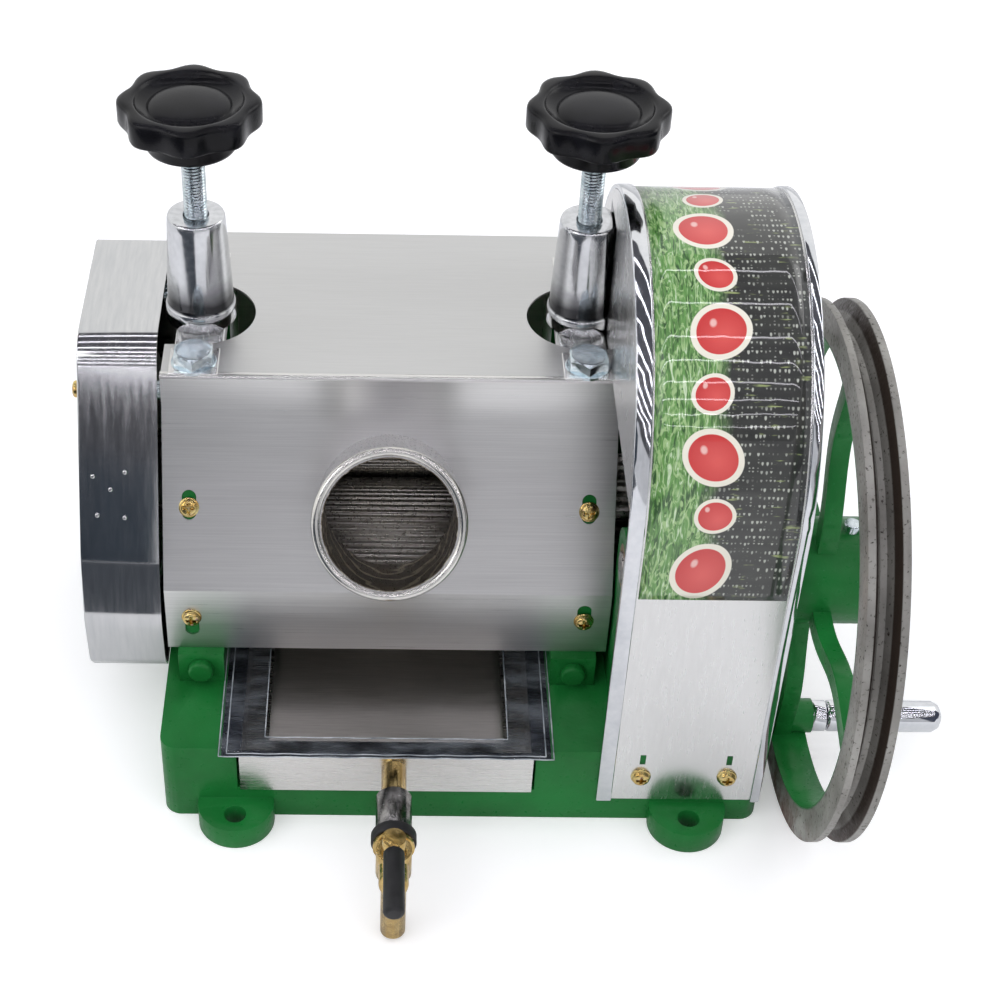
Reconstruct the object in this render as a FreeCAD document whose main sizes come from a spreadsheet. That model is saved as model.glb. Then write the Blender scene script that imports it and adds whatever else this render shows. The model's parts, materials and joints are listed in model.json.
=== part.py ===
import FreeCAD, Part
import math
import os
import re

import Sketcher

Vector = FreeCAD.Vector
Rotation = FreeCAD.Rotation

os.makedirs("parts", exist_ok=True)
doc = FreeCAD.newDocument("cane_juicer")
sheet = doc.addObject("Spreadsheet::Sheet", "Sizes")

# Driving sizes in millimetres and degrees.
# Origin: centre of the four mounting holes, on the underside of the base.
SIZES = {
    # Base casting and its lugs
    "machine_x": -40,
    "base_margin": 7,
    "base_depth": 240,
    "base_height": 51,
    "base_wall": 10,
    "base_top": 8,
    "base_corner": 9,
    "lug_inset": 38.5,
    "lug_reach": 3.3,
    "lug_radius": 20,
    "lug_height": 13.5,
    "lug_hole_y": 131.5,
    "lug_hole": 5.75,
    # Rails under the tray
    "rail_width": 14,
    "rail_height": 8,
    "rail_web": 6,
    # Side frames
    "frame_width": 24,
    "frame_inset": 9,
    "foot_front": -71.5,
    "foot_height": 20,
    "foot_bolt_front": -52,
    "foot_bolt_inset": 17,
    "foot_bolt": 5,
    "foot_bolt_head": 8.5,
    "foot_bolt_seat": 6.5,
    "foot_bolt_length": 35.5,
    "toe_screw": 3.9,
    "toe_screw_head": 6.5,
    # Front panel of folded sheet
    "sheet": 1.2,
    "panel_front": -65.8,
    "panel_bottom": 70.6,
    "panel_low": 40.1,
    "panel_mid": 95.6,
    "panel_tilt": 28.9,
    "cover_height": 213,
    "upper_tilt": 3.3,
    "panel_screw_x": 102,
    "panel_screw_low": 22,
    "panel_screw_mid": 44,
    "panel_overlap": 5.4,
    "small_screw": 2.4,
    "small_screw_head": 5.2,
    "small_screw_rise": 3.5,
    "small_slot": 2.7,
    "panel_slot": 3.7,
    "panel_slot_length": 15.5,
    "mid_slot_rise": 1.2,
    "low_slot_left": -5,
    "low_slot_right": 3,
    # Feed tube
    "tube_radius": 36.7,
    "tube_bore": 33,
    "tube_rim": 37.7,
    "tube_rim_length": 3,
    "tube_length": 48,
    "tube_inside": 8,
    "tube_flange": 43,
    "tube_up": 46,
    # Top cover and bridge plates
    "cover_overlap": 5,
    "cover_tail": 0.5,
    "cover_bite": 28,
    "bridge_thickness": 14,
    "bridge_front": -17,
    "bridge_back": 87,
    "bridge_bolt_y": 43.5,
    "bridge_bolt_x": 0.8,
    "bridge_bolt": 5.9,
    "bridge_bolt_hole": 6.2,
    "bridge_bolt_depth": 25,
    "bolt_flats": 19,
    # Rollers
    "roller_radius": 30,
    "roller_length": 168,
    "roller_play": 2,
    "roller_ribs": 60,
    "rib_depth": 0.9,
    "journal": 15,
    "upper_y": 36,
    "upper_z": 146,
    "lower_half": 34.6,
    "fit": 0.05,
    "bush_wall": 2,
    "shaft_tail": 2,
    # Bearing blocks, pushers, springs and pressure screws
    "block_half": 21.8,
    "block_bottom": 22,
    "block_top": 22,
    "press_offset": 0.2,
    "screw_radius": 6,
    "screw_bottom": 250,
    "pusher_radius": 9.8,
    "pusher_top": 190,
    "pusher_disc": 5,
    "cap_height": 5,
    "well_radius": 10.5,
    "well_top": 262,
    "wire_radius": 1.4,
    "coil_radius": 7.6,
    "coil_turns": 6,
    "cone_top": 272.7,
    "cone_top_radius": 14.5,
    "cone_radius": 17,
    "cone_flange": 18,
    "cone_flange_height": 10,
    "knob_bottom": 311.5,
    "knob_disc": 10.3,
    "knob_top": 337,
    "knob_radius": 35,
    "knob_lobe": 1.6,
    "knob_lobes": 8,
    "knob_skirt": 22.5,
    # Gears
    "module": 2.5,
    "pressure_angle": 25,
    "backlash": 0.6,
    "roller_teeth": 25,
    "roller_gear_width": 20,
    "roller_gear_gap": 15,
    "pinion_teeth": 12,
    "counter_teeth": 48,
    "drive_teeth": 18,
    "counter_angle": 94.9,
    "wheel_angle": 173.34,
    "drive_gear_gap": 6,
    "drive_gear_width": 18,
    "large_gear_gap": 5,
    "large_gear_width": 20,
    "pin_radius": 8,
    # Flywheel
    "shaft_radius": 8,
    "rim_gap": 11.8,
    "rim_width": 19,
    "rim_radius": 135.7,
    "rim_inner": 119,
    "groove_land": 3.5,
    "groove_depth": 11.2,
    "groove_floor": 3,
    "spoke_count": 4,
    "spoke_inset": 1.5,
    "spoke_thickness": 9,
    "spoke_width": 15,
    "spoke_sweep": 20,
    "hub_before": 10,
    "hub_length": 37,
    "hub_radius": 27,
    "set_screw": 4,
    "set_screw_inset": 7,
    "set_screw_rise": 4,
    # Crank
    "crank_radius": 114.3,
    "crank_angle": 274.2,
    "crank_boss": 9.4,
    "crank_stud": 6,
    "crank_nut_height": 6,
    "crank_collar": 8.5,
    "grip_gap": 3,
    "grip_length": 62.6,
    "grip_radius": 8.6,
    # Bearing bracket
    "ear_gap": 7,
    "ear_width": 16,
    "wall_gap": 4,
    "wall_width": 20,
    "bracket_front": -108,
    "bracket_back": 20,
    "bracket_foot": 10,
    "input_bush_wall": 4,
    "boss_wall": 8,
    "bracket_bolt": 4,
    "bracket_bolt_flats": 13,
    "bracket_bolt_rise": 5.3,
    "bracket_bolt_inset": 10,
    # Left gear cover
    "left_gap": 9.5,
    "left_depth": 40.9,
    "left_back": 106,
    "left_fold": 24,
    "left_fold_y": 25,
    "left_nose_y": 81,
    "left_nose_z": 32,
    "left_belly_y": 91,
    "left_belly_z": 68,
    "left_chin_y": 88,
    "left_chin_z": 100,
    "left_foot_y": 79,
    "stud_radius": 2.9,
    "stud_thread": 11,
    "left_bottom": 35,
    # Right guard
    "guard_gap": 0.4,
    "guard_tail": 13.2,
    "guard_lap": 2.5,
    "guard_radius": 109.5,
    "guard_arch_z": 195,
    "guard_bottom": 17,
    "bead_thickness": 2.5,
    "bead_left_width": 8,
    "bead_right_width": 5,
    "guard_foot": 12,
    "guard_screw_z": 34.5,
    "guard_screw_left": 22,
    "guard_screw_right": 19,
    # Tray and strainer
    "tray_half": 76,
    "tray_bottom": 22,
    "tray_top": 49.2,
    "tray_front": -122,
    "tray_back": 90,
    "lip_half": 84.7,
    "lip_front": -124,
    "lip_thickness": 1.5,
    "strainer_half": 61,
    "strainer_front": -110,
    "strainer_back": 78,
    "strainer_top": 48,
    # Tap
    "tap_x": 4,
    "tap_z": 38.5,
    "tap_collar": 9.25,
    "gasket_radius": 11.5,
    "gasket_front": -172,
    "tap_plug_y": -181.5,
    "spout_y": -197,
    "spout_radius": 6.35,
    "spout_bottom": 3,
    "lever_z": 52,
    "sleeve_radius": 5.25,
    "sleeve_back": -188,
    "sleeve_front": -227,
    # Outlet
    "outlet_half": 68,
    "outlet_low": 108,
    "outlet_high": 156,
    "chute_end": 164,
    "chute_drop": 22,
    "seat_gap": 0.3,
    "bore_gap": 0.2,
}
# Places and sizes that follow from the sizes above
RELATIONS = {
    "frame_inner": "roller_length / 2 + roller_play",
    "frame_outer": "frame_inner + frame_width",
    "frame_right": "machine_x + frame_outer",
    "frame_left": "machine_x - frame_outer",
    "frame_back": "base_depth / 2 - frame_inset",
    "base_width": "2 * (frame_outer - machine_x + base_margin)",
    "lug_x": "base_width / 2 - lug_inset",
    "press_x": "frame_inner + frame_width / 2 + press_offset",
    "panel_half": "frame_outer + panel_overlap",
    "cover_half": "frame_outer + cover_overlap",
    "cover_back": "frame_back + sheet + cover_tail",
    "shaft_right": "frame_right + shaft_tail",
    "roller_gear_x": "frame_left - roller_gear_gap - roller_gear_width",
    "drive_gear_x": "frame_right + drive_gear_gap",
    "large_gear_x": "drive_gear_x + drive_gear_width + large_gear_gap",
    "ear_x": "frame_right + ear_gap",
    "wall_x": "large_gear_x + large_gear_width + wall_gap",
    "guard_left": "frame_right + guard_gap",
    "guard_right": "wall_x + wall_width + guard_tail",
    "guard_front": "-base_depth / 2 - guard_lap",
    "rim_x": "guard_right + rim_gap",
    "spoke_x": "rim_x + spoke_inset",
    "hub_x": "rim_x - hub_before",
    "hub_end": "hub_x + hub_length",
    "crank_nut_x": "rim_x - crank_nut_height",
    "grip_x": "hub_end + grip_gap",
    "grip_end": "grip_x + grip_length",
    "left_inner": "frame_left - left_gap",
    "left_outer": "left_inner - left_depth",
}
for row, (name, value) in enumerate(SIZES.items(), 1):
    sheet.set(f"A{row}", name)
    sheet.set(f"B{row}", str(value))
    sheet.setAlias(f"B{row}", name)
doc.recompute()

ALONG_X = Rotation(Vector(0, 1, 0), 90)
ALONG_Y = Rotation(Vector(1, 0, 0), -90)
ALONG_Z = Rotation()
# Profiles drawn in a sketch's plane: side view pushed along X, and turned profiles
SIDE_VIEW = Rotation(Vector(1, 1, 1), 120)
TURN = {"x": Rotation(), "y": Rotation(Vector(0, 0, 1), 90), "z": Rotation(Vector(0, 1, 0), -90)}
ROUND = {"x": ALONG_X, "y": ALONG_Y, "z": ALONG_Z}
SIDES = (("left", -1), ("right", 1))
nodes = {}


def size(name):
    """Value of one size of the sheet."""
    return float(sheet.get(name))


def pointed(word):
    """One word of a formula: a relation written out, or a size of the sheet."""
    name = word.group()
    if name in RELATIONS:
        return f"({bound(RELATIONS[name])})"
    return "Sizes." + name if name in SIZES else name


def bound(formula):
    """Formula with each size's name pointed at the sheet."""
    return re.sub(r"[a-z_]\w*", pointed, str(formula))


def place(piece, position, rotation=Rotation()):
    """Turn a piece, and hold its position by formulas of the sizes."""
    piece.Placement = FreeCAD.Placement(Vector(), rotation)
    for axis, formula in zip("xyz", position):
        piece.setExpression(f"Placement.Base.{axis}", bound(formula))
    return piece


def node(name, piece):
    """Name a finished sub-part."""
    piece.Label = name
    nodes[name] = piece
    return piece


def box(name, corner, lengths):
    """Block from its lowest corner."""
    piece = doc.addObject("Part::Box", name)
    for side, formula in zip(("Length", "Width", "Height"), lengths):
        piece.setExpression(side, bound(formula))
    return place(piece, corner)


def rod(name, start, axis, radius, length):
    """Round bar from its start along an axis."""
    piece = doc.addObject("Part::Cylinder", name)
    piece.setExpression("Radius", bound(radius))
    piece.setExpression("Height", bound(length))
    return place(piece, start, ROUND[axis])


def outline(body, points):
    """Closed sketch whose corners are held by formulas of the sizes."""
    sketch = body.newObject("Sketcher::SketchObject", body.Name + "_outline")
    ground = [plane for plane in body.Origin.OriginFeatures if plane.Role == "XY_Plane"][0]
    sketch.AttachmentSupport = [(ground, "")]
    sketch.MapMode = "FlatFace"
    count = len(points)
    ring = [Vector(math.cos(0.1 + step * math.tau / count), math.sin(0.1 + step * math.tau / count), 0)
            for step in range(count)]
    for step in range(count):
        sketch.addGeometry(Part.LineSegment(ring[step], ring[(step + 1) % count]), False)
    for step in range(count):
        sketch.addConstraint(Sketcher.Constraint("Coincident", step, 2, (step + 1) % count, 1))
    for step, (across, up) in enumerate(points):
        held = sketch.addConstraint(Sketcher.Constraint("DistanceX", -1, 1, step, 1, ring[step].x))
        sketch.setExpression(f"Constraints[{held}]", bound(across))
        held = sketch.addConstraint(Sketcher.Constraint("DistanceY", -1, 1, step, 1, ring[step].y))
        sketch.setExpression(f"Constraints[{held}]", bound(up))
    return sketch


def slab(name, points, start, rotation, thickness):
    """Outline pushed to a thickness."""
    body = doc.addObject("PartDesign::Body", name)
    sketch = outline(body, points)
    pad = body.newObject("PartDesign::Pad", name + "_pad")
    pad.Profile = sketch
    pad.setExpression("Length", bound(thickness))
    sketch.Visibility = False
    return place(body, start, rotation)


def side_slab(name, points, x, thickness):
    """Side view outline of (y, z) corners, pushed along X."""
    return slab(name, points, (x, 0, 0), SIDE_VIEW, thickness)


def turned(name, start, axis, profile):
    """Turned piece: its profile is given as (distance along the axis, radius) corners."""
    body = doc.addObject("PartDesign::Body", name)
    sketch = outline(body, profile)
    turn = body.newObject("PartDesign::Revolution", name + "_turn")
    turn.Profile = sketch
    turn.ReferenceAxis = (sketch, ["H_Axis"])
    turn.Angle = 360
    sketch.Visibility = False
    return place(body, start, TURN[axis])


def ring(name, start, axis, bore, radius, length):
    """Plain ring or bush."""
    return turned(name, start, axis, [(0, bore), (length, bore), (length, radius), (0, radius)])


def joined(name, *pieces):
    """Pieces made as one."""
    union = doc.addObject("Part::MultiFuse", name)
    union.Shapes = list(pieces)
    return place(union, (0, 0, 0))


def group(name, *pieces):
    """Separate solids that share a node."""
    compound = doc.addObject("Part::Compound", name)
    compound.Links = list(pieces)
    return place(compound, (0, 0, 0))


def cut(name, piece, *tools):
    """Piece less its tools."""
    tool = tools[0] if len(tools) == 1 else joined(name + "_tools", *tools)
    difference = doc.addObject("Part::Cut", name)
    difference.Base = piece
    difference.Tool = tool
    return place(difference, (0, 0, 0))


def rounded(name, piece, radius, chosen):
    """Piece with the chosen edges rounded."""
    doc.recompute()
    fillet = doc.addObject("Part::Fillet", name)
    fillet.Base = piece
    fillet.Edges = [(number, radius, radius) for number, edge in enumerate(piece.Shape.Edges, 1)
                    if chosen(edge)]
    return place(fillet, (0, 0, 0))


def formed(name, shape, position):
    """Piece whose shape is worked out here from the sheet."""
    piece = doc.addObject("Part::Feature", name)
    piece.Shape = shape
    return place(piece, position)


def upright(edge):
    """True for an edge along Z."""
    low, high = edge.BoundBox.ZMin, edge.BoundBox.ZMax
    return high - low > 0.99 * edge.Length


def beside(sign, distance):
    """Place at a distance left or right of the machine's middle."""
    return f"machine_x + {sign} * ({distance})"


def span(sign, near, width):
    """Lowest X of a piece of some width that starts near the middle and goes outwards."""
    return beside(sign, near if sign > 0 else f"{near} + {width}")


def polar(origin, radius, angle):
    """Point at an angle from +Y towards +Z about another."""
    return f"{origin[0]} + ({radius}) * cos({angle})", f"{origin[1]} + ({radius}) * sin({angle})"


# Axes, as formulas for Y and Z
UPPER = ("upper_y", "upper_z")
LOWER_Z = "upper_z - sqrt((module * roller_teeth) ^ 2 - lower_half ^ 2)"
FRONT = ("upper_y - lower_half", LOWER_Z)
REAR = ("upper_y + lower_half", LOWER_Z)
COUNTER = polar(FRONT, "module * (pinion_teeth + drive_teeth) / 2", "counter_angle")
WHEEL = polar(COUNTER, "module * (pinion_teeth + counter_teeth) / 2", "wheel_angle")
CRANK = polar(WHEEL, "crank_radius", "crank_angle")

# Bends of the front panel's outer face, from the bottom up
LOW = ("panel_front", "panel_bottom")
BEND = ("panel_front", "panel_bottom + panel_low")
FOLD = (f"{BEND[0]} + panel_mid * sin(panel_tilt)", f"{BEND[1]} + panel_mid * cos(panel_tilt)")
PANEL_TOP = "cover_height - sheet"
TOP = (f"{FOLD[0]} + ({PANEL_TOP} - ({FOLD[1]})) * tan(upper_tilt)", PANEL_TOP)


def inset(depth):
    """Bends of a face that lies behind the panel's outer face."""
    share = f"({depth}) / (1 + cos(panel_tilt - upper_tilt))"
    return [
        (f"panel_front + {depth}", "panel_bottom"),
        (f"{BEND[0]} + {depth}", f"{BEND[1]} - ({depth}) * tan(panel_tilt / 2)"),
        (f"{FOLD[0]} + {share} * (cos(panel_tilt) + cos(upper_tilt))",
         f"{FOLD[1]} - {share} * (sin(panel_tilt) + sin(upper_tilt))"),
        (f"{TOP[0]} + ({depth}) / cos(upper_tilt)", PANEL_TOP),
    ]


def base_casting():
    """Hollow base with four lugs, rails for the tray and an open middle."""
    block = box("base_block", ("-base_width / 2", "-base_depth / 2", 0),
                ("base_width", "base_depth", "base_height"))
    outer = rounded("base_outer", block, size("base_corner"), upright)
    lugs = []
    holes = []
    for end in (-1, 1):
        for sign in (-1, 1):
            x = f"{sign} * lug_x"
            lugs.append(rod("lug", (x, f"{end} * (base_depth / 2 + lug_reach)", 0), "z",
                            "lug_radius", "lug_height"))
            holes.append(rod("lug_bore", (x, f"{end} * lug_hole_y", -1), "z", "lug_hole",
                             "lug_height + 2"))
    whole = joined("base_whole", outer, *lugs)
    cavity = box("base_cavity", ("base_wall - base_width / 2", "base_wall - base_depth / 2", -1),
                 ("base_width - 2 * base_wall", "base_depth - 2 * base_wall",
                  "base_height - base_top + 1"))
    shell = cut("base_shell", whole, cavity, *holes)
    rails = []
    for side, sign in SIDES:
        rails.append(box("rail_" + side, (span(sign, "tray_half - rail_width + 6", "rail_width"),
                                          "base_wall - base_depth / 2 - 1",
                                          "tray_bottom - seat_gap - rail_height"),
                         ("rail_width", "base_depth - 2 * base_wall + 2", "rail_height")))
        rails.append(box("rail_web_" + side, (span(sign, "tray_half + 2", "rail_web"),
                                              "base_wall - base_depth / 2 - 1",
                                              "tray_bottom - seat_gap - rail_height"),
                         ("rail_web", "base_depth - 2 * base_wall + 2",
                          "base_height - base_top / 2 - tray_bottom + seat_gap + rail_height")))
    opening = box("tray_opening", (beside(-1, "tray_half + 1.5"), "-base_depth / 2 - 1",
                                   "tray_bottom - seat_gap"),
                  ("2 * tray_half + 3", "base_depth / 2 + tray_back + 4", "base_height"))
    ledge = box("lip_ledge", (beside(-1, "lip_half + seat_gap"), "-base_depth / 2 - 1", "tray_top"),
                ("2 * (lip_half + seat_gap)", "base_depth / 2 + tray_back + 6", "base_height"))
    bolts = [rod("foot_bore", (x, y, "base_height / 2"), "z", "foot_bolt + bore_gap", "base_height")
             for x, y in foot_bolt_places()]
    studs = [rod("bracket_bore", (x, y, "base_height - base_top - 1"), "z", "bracket_bolt",
                 "base_top + 2")
             for x, y in bracket_bolt_places()]
    guard = [rod("guard_bore", (x, "-base_depth / 2 - 1", "guard_screw_z"), "y", "small_screw + fit",
                 "base_wall + 2")
             for x in guard_screw_places()]
    node("base_casting", cut("base_casting", joined("base_railed", shell, *rails), opening, ledge,
                             *bolts, *studs, *guard))


def foot_bolt_places():
    """Bolts that hold the side frames on the base."""
    return [(beside(sign, "press_x"), y) for _, sign in SIDES
            for y in ("foot_bolt_front", "frame_back - foot_bolt_inset")]


def bracket_bolt_places():
    """Bolts of the bearing bracket, between its ear and its wall."""
    middle = "(ear_x + ear_width + wall_x) / 2"
    return [(middle, y) for y in ("bracket_front + bracket_bolt_inset", "(bracket_front + bracket_back) / 2",
                                  "bracket_back - bracket_bolt_inset")]


def guard_screw_places():
    """Screws of the guard on the base's front wall."""
    return ["guard_left + guard_screw_left", "guard_right - guard_screw_right"]


def side_frames():
    """Two cast cheeks that carry the rollers."""
    front = inset("sheet")
    profile = [("foot_front", "base_height"), ("foot_front", "base_height + foot_height - 0.5"),
               (front[0][0], "base_height + foot_height - 0.5"), front[1], front[2], front[3],
               ("frame_back", PANEL_TOP), ("frame_back", "base_height")]
    for side, sign in SIDES:
        x = span(sign, "frame_inner", "frame_width")
        through = f"{x} - 1"
        blank = side_slab("frame_blank_" + side, profile, x, "frame_width")
        tools = [
            box("slot", (through, "upper_y - block_half - seat_gap", "upper_z - block_bottom - seat_gap"),
                ("frame_width + 2", "2 * (block_half + seat_gap)", "cover_height")),
            box("seat", (through, "bridge_front - 5", f"{PANEL_TOP} - bridge_thickness"),
                ("frame_width + 2", "bridge_back - bridge_front + 5", "cover_height")),
        ]
        for y, z in (FRONT, REAR):
            tools.append(rod("journal_bore", (through, y, z), "x", "journal + fit + bush_wall",
                             "frame_width + 2"))
        if side == "right":
            tools.append(rod("counter_bore", (through, *COUNTER), "x", "pin_radius",
                             "frame_width + 2"))
        for _, y in foot_bolt_places()[:2]:
            tools.append(rod("foot_thread", (beside(sign, "press_x"), y, "base_height - 1"), "z",
                             "foot_bolt", "foot_bolt_length + 5"))
        for y in bridge_bolt_places():
            tools.append(rod("bridge_thread", (beside(sign, "press_x + bridge_bolt_x"), y,
                                               "cover_height - bridge_thickness - bridge_bolt_depth - 11"),
                             "z", "bridge_bolt", "bridge_thickness + bridge_bolt_depth + 11"))
        x_screw = beside(sign, "panel_screw_x")
        tools.append(rod("low_thread", (x_screw, "panel_front + 0.5", "panel_bottom + panel_screw_low"),
                         "y", "small_screw + fit", 16))
        tools.append(leaning_rod("mid_thread", x_screw, "panel_screw_mid", "-15", "small_screw + fit", 15))
        tools.append(rod("toe_thread", (beside(sign, "press_x"), "foot_front - 1",
                                        "base_height + foot_height / 2"), "y", "toe_screw", 10))
        if side == "left":
            for y, z in stud_places():
                tools.append(rod("stud_thread", (f"{x} - 1", y, z), "x", "stud_radius", "stud_thread + 2"))
        node("side_frame_" + side, cut("side_frame_" + side, blank, *tools))


def bridge_bolt_places():
    """Bolts in front of and behind each pressure screw."""
    return ["upper_y - bridge_bolt_y", "upper_y + bridge_bolt_y"]


def stud_places():
    """Studs of the left gear cover, beside the gears."""
    return [("upper_y - lower_half + 5", "upper_z + 39"), ("upper_y + lower_half + 24", "upper_z + 39"),
            ("upper_y", f"{LOWER_Z} - 36")]


def frame_bolts():
    """Bolts from below into the side frames, and one screw in the front of each foot."""
    pieces = []
    under = "base_height - base_top"
    for number, (x, y) in enumerate(foot_bolt_places()):
        pieces.append(turned(f"foot_bolt_{number}", (x, y, f"{under} - foot_bolt_seat"), "z", [
            (0, 0), (0, "foot_bolt_head"), ("foot_bolt_seat", "foot_bolt_head"),
            ("foot_bolt_seat", "foot_bolt"), ("foot_bolt_seat + foot_bolt_length", "foot_bolt"),
            ("foot_bolt_seat + foot_bolt_length", 0)]))
    for side, sign in SIDES:
        pieces.append(turned("toe_screw_" + side,
                             (beside(sign, "press_x"), "foot_front - 5", "base_height + foot_height / 2"),
                             "y",
                             [(0, 0), (0, "toe_screw_head - 1"), (1, "toe_screw_head"), (5, "toe_screw_head"),
                              (5, "toe_screw"), (13.5, "toe_screw"), (13.5, 0)]))
    node("frame_bolts", group("frame_bolts", *pieces))


def lower_bushes():
    """Bronze bushes of the two lower rollers."""
    pieces = []
    for side, sign in SIDES:
        for y, z in (FRONT, REAR):
            pieces.append(ring("lower_bush", (span(sign, "frame_inner", "frame_width"), y, z), "x",
                               "journal + fit", "journal + fit + bush_wall", "frame_width"))
    node("lower_bushes", group("lower_bushes", *pieces))


def bridge_plates():
    """Steel plates that close the slots of the side frames and carry the pressure screws."""
    plates = []
    bolts = []
    for side, sign in SIDES:
        blank = box("bridge_blank_" + side, (span(sign, "frame_inner", "frame_width"), "bridge_front",
                                             f"{PANEL_TOP} - bridge_thickness"),
                    ("frame_width", "bridge_back - bridge_front", "bridge_thickness"))
        holes = [rod("well", (beside(sign, "press_x"), "upper_y", "cover_height - bridge_thickness - 5"), "z",
                     "well_radius", "bridge_thickness + 10")]
        for y in bridge_bolt_places():
            x = beside(sign, "press_x + bridge_bolt_x")
            holes.append(rod("bridge_hole", (x, y, "cover_height - bridge_thickness - 5"), "z",
                             "bridge_bolt_hole", "bridge_thickness + 10"))
            shank = rod("bridge_shank", (x, y, "cover_height - bridge_thickness - bridge_bolt_depth"), "z",
                        "bridge_bolt", "bridge_thickness + bridge_bolt_depth + 1")
            bolts.append(joined("bridge_bolt", shank, hexagon("bridge_head", (x, y, "cover_height"),
                                                              "bolt_flats", "cone_flange_height - 2")))
        plates.append(cut("bridge_plate_" + side, blank, *holes))
    node("bridge_plates", group("bridge_plates", *plates))
    node("bridge_bolts", group("bridge_bolts", *bolts))


def hexagon(name, start, flats, height, axis="z"):
    """Hexagon of a width over its flats."""
    piece = doc.addObject("Part::Prism", name)
    piece.Polygon = 6
    piece.setExpression("Circumradius", bound(f"{flats} / sqrt(3)"))
    piece.setExpression("Height", bound(height))
    return place(piece, start, ROUND[axis])


def spring_housings():
    """Conical housings on the bridge plates, threaded at the top for the pressure screws."""
    pieces = []
    for side, sign in SIDES:
        profile = [
            (0, "well_radius"), (0, "cone_flange"), ("cone_flange_height", "cone_flange"),
            ("cone_flange_height", "cone_radius"),
            (f"cone_top - ({PANEL_TOP}) - 2", "cone_top_radius"),
            (f"cone_top - ({PANEL_TOP})", "cone_top_radius - 2"),
            (f"cone_top - ({PANEL_TOP})", "screw_radius + fit"),
            (f"well_top - ({PANEL_TOP})", "screw_radius + fit"),
            (f"well_top - ({PANEL_TOP})", "well_radius"),
        ]
        pieces.append(turned("spring_housing_" + side, (beside(sign, "press_x"), "upper_y", PANEL_TOP),
                             "z", profile))
    node("spring_housings", group("spring_housings", *pieces))


def top_cover():
    """Flat cover with round cut-outs about the spring housings."""
    front = TOP[0]
    blank = box("cover_blank", (beside(-1, "cover_half"), front, PANEL_TOP),
                ("2 * cover_half", f"cover_back - ({front})", "sheet"))
    tools = [box("guard_notch", ("guard_left - seat_gap", "guard_radius - 28", f"{PANEL_TOP} - 1"),
                 ("60", "60", "sheet + 2"))]
    for side, sign in SIDES:
        tools.append(rod("bite", (beside(sign, "press_x"), "upper_y", f"{PANEL_TOP} - 1"), "z",
                         "cover_bite", "sheet + 2"))
        tools.append(box("bite_mouth", (span(sign, "press_x", "60"), "upper_y - cover_bite",
                                        f"{PANEL_TOP} - 1"), ("60", "2 * cover_bite", "sheet + 2")))
        for y in bridge_bolt_places():
            tools.append(rod("cover_hole", (beside(sign, "press_x + bridge_bolt_x"), y, f"{PANEL_TOP} - 1"),
                             "z", "bridge_bolt_hole", "sheet + 2"))
    node("top_cover", cut("top_cover", blank, *tools))


def tilted(piece):
    """Lean a piece that points along -Y until it stands square on the leaning facet."""
    piece.Placement = FreeCAD.Placement(piece.Placement.Base, Rotation(Vector(1, 0, 0), 90))
    piece.setExpression("Placement.Rotation.Angle", bound("90 - panel_tilt"))
    return piece


def facet_point(along, out):
    """Point on the leaning facet, measured up from its lower bend and out from its face."""
    return (f"{BEND[0]} + ({along}) * sin(panel_tilt) - ({out}) * cos(panel_tilt)",
            f"{BEND[1]} + ({along}) * cos(panel_tilt) + ({out}) * sin(panel_tilt)")


def leaning_rod(name, x, along, out, radius, length):
    """Round bar that stands square on the leaning facet."""
    return tilted(rod(name, (x, *facet_point(along, out)), "y", radius, length))


def pan_screw(name, start, axis, length):
    """Small screw from the face of its head inwards."""
    return turned(name, start, axis, [
        (0, 0), (0, "small_screw_head - 1.2"), (1.2, "small_screw_head"),
        ("small_screw_rise", "small_screw_head"), ("small_screw_rise", "small_screw"),
        (length, "small_screw"), (length, 0)])


def upright_slot(name, x, z, y):
    """Round-ended upright slot through a sheet that stands square to Y."""
    half = "panel_slot_length / 2 - panel_slot"
    ends = [rod(f"{name}_{end}", (x, y, f"{z} {end} ({half})"), "y", "panel_slot", "sheet + 2")
            for end in ("-", "+")]
    middle = box(name + "_middle", (f"{x} - panel_slot", y, f"{z} - ({half})"),
                 ("2 * panel_slot", "sheet + 2", f"2 * ({half})"))
    return [*ends, middle]


def leaning_slot(name, x, along):
    """Round-ended slot that runs up the leaning facet."""
    half = "panel_slot_length / 2 - panel_slot"
    ends = [leaning_rod(f"{name}_{end}", x, f"{along} {end} ({half})", "-5", "panel_slot", 10)
            for end in ("-", "+")]
    middle = box(name + "_middle", (f"{x} - panel_slot", *facet_point(f"{along} + {half}", "5")),
                 ("2 * panel_slot", f"2 * ({half})", 10))
    middle.Placement = FreeCAD.Placement(middle.Placement.Base, Rotation(Vector(1, 0, 0), 90))
    middle.setExpression("Placement.Rotation.Angle", bound("-90 - panel_tilt"))
    return [*ends, middle]


def front_panel():
    """Folded front sheet with the feed hole and slots for its screws."""
    outside = [LOW, BEND, FOLD, TOP]
    panel = side_slab("panel_blank", outside + inset("sheet")[::-1], beside(-1, "panel_half"),
                      "2 * panel_half")
    tools = [leaning_rod("feed_hole", "machine_x", "tube_up", "-10", "tube_radius", 20)]
    screws = []
    for side, sign in SIDES:
        x = beside(sign, "panel_screw_x")
        tools += upright_slot("low_slot", x, f"panel_bottom + panel_screw_low + low_slot_{side}",
                              "panel_front - 1")
        tools += leaning_slot("mid_slot", x, "panel_screw_mid + mid_slot_rise")
        screws.append(pan_screw("low_screw", (x, "panel_front - small_screw_rise",
                                              "panel_bottom + panel_screw_low"), "y", 16))
        head = leaning_rod("mid_head", x, "panel_screw_mid", 0, "small_screw_head", "small_screw_rise")
        shank = leaning_rod("mid_shank", x, "panel_screw_mid", "-3", "small_screw", 4)
        screws.append(joined("mid_screw", head, shank))
    node("front_panel", cut("front_panel", panel, *tools))
    node("panel_screws", group("panel_screws", *screws))


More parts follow.
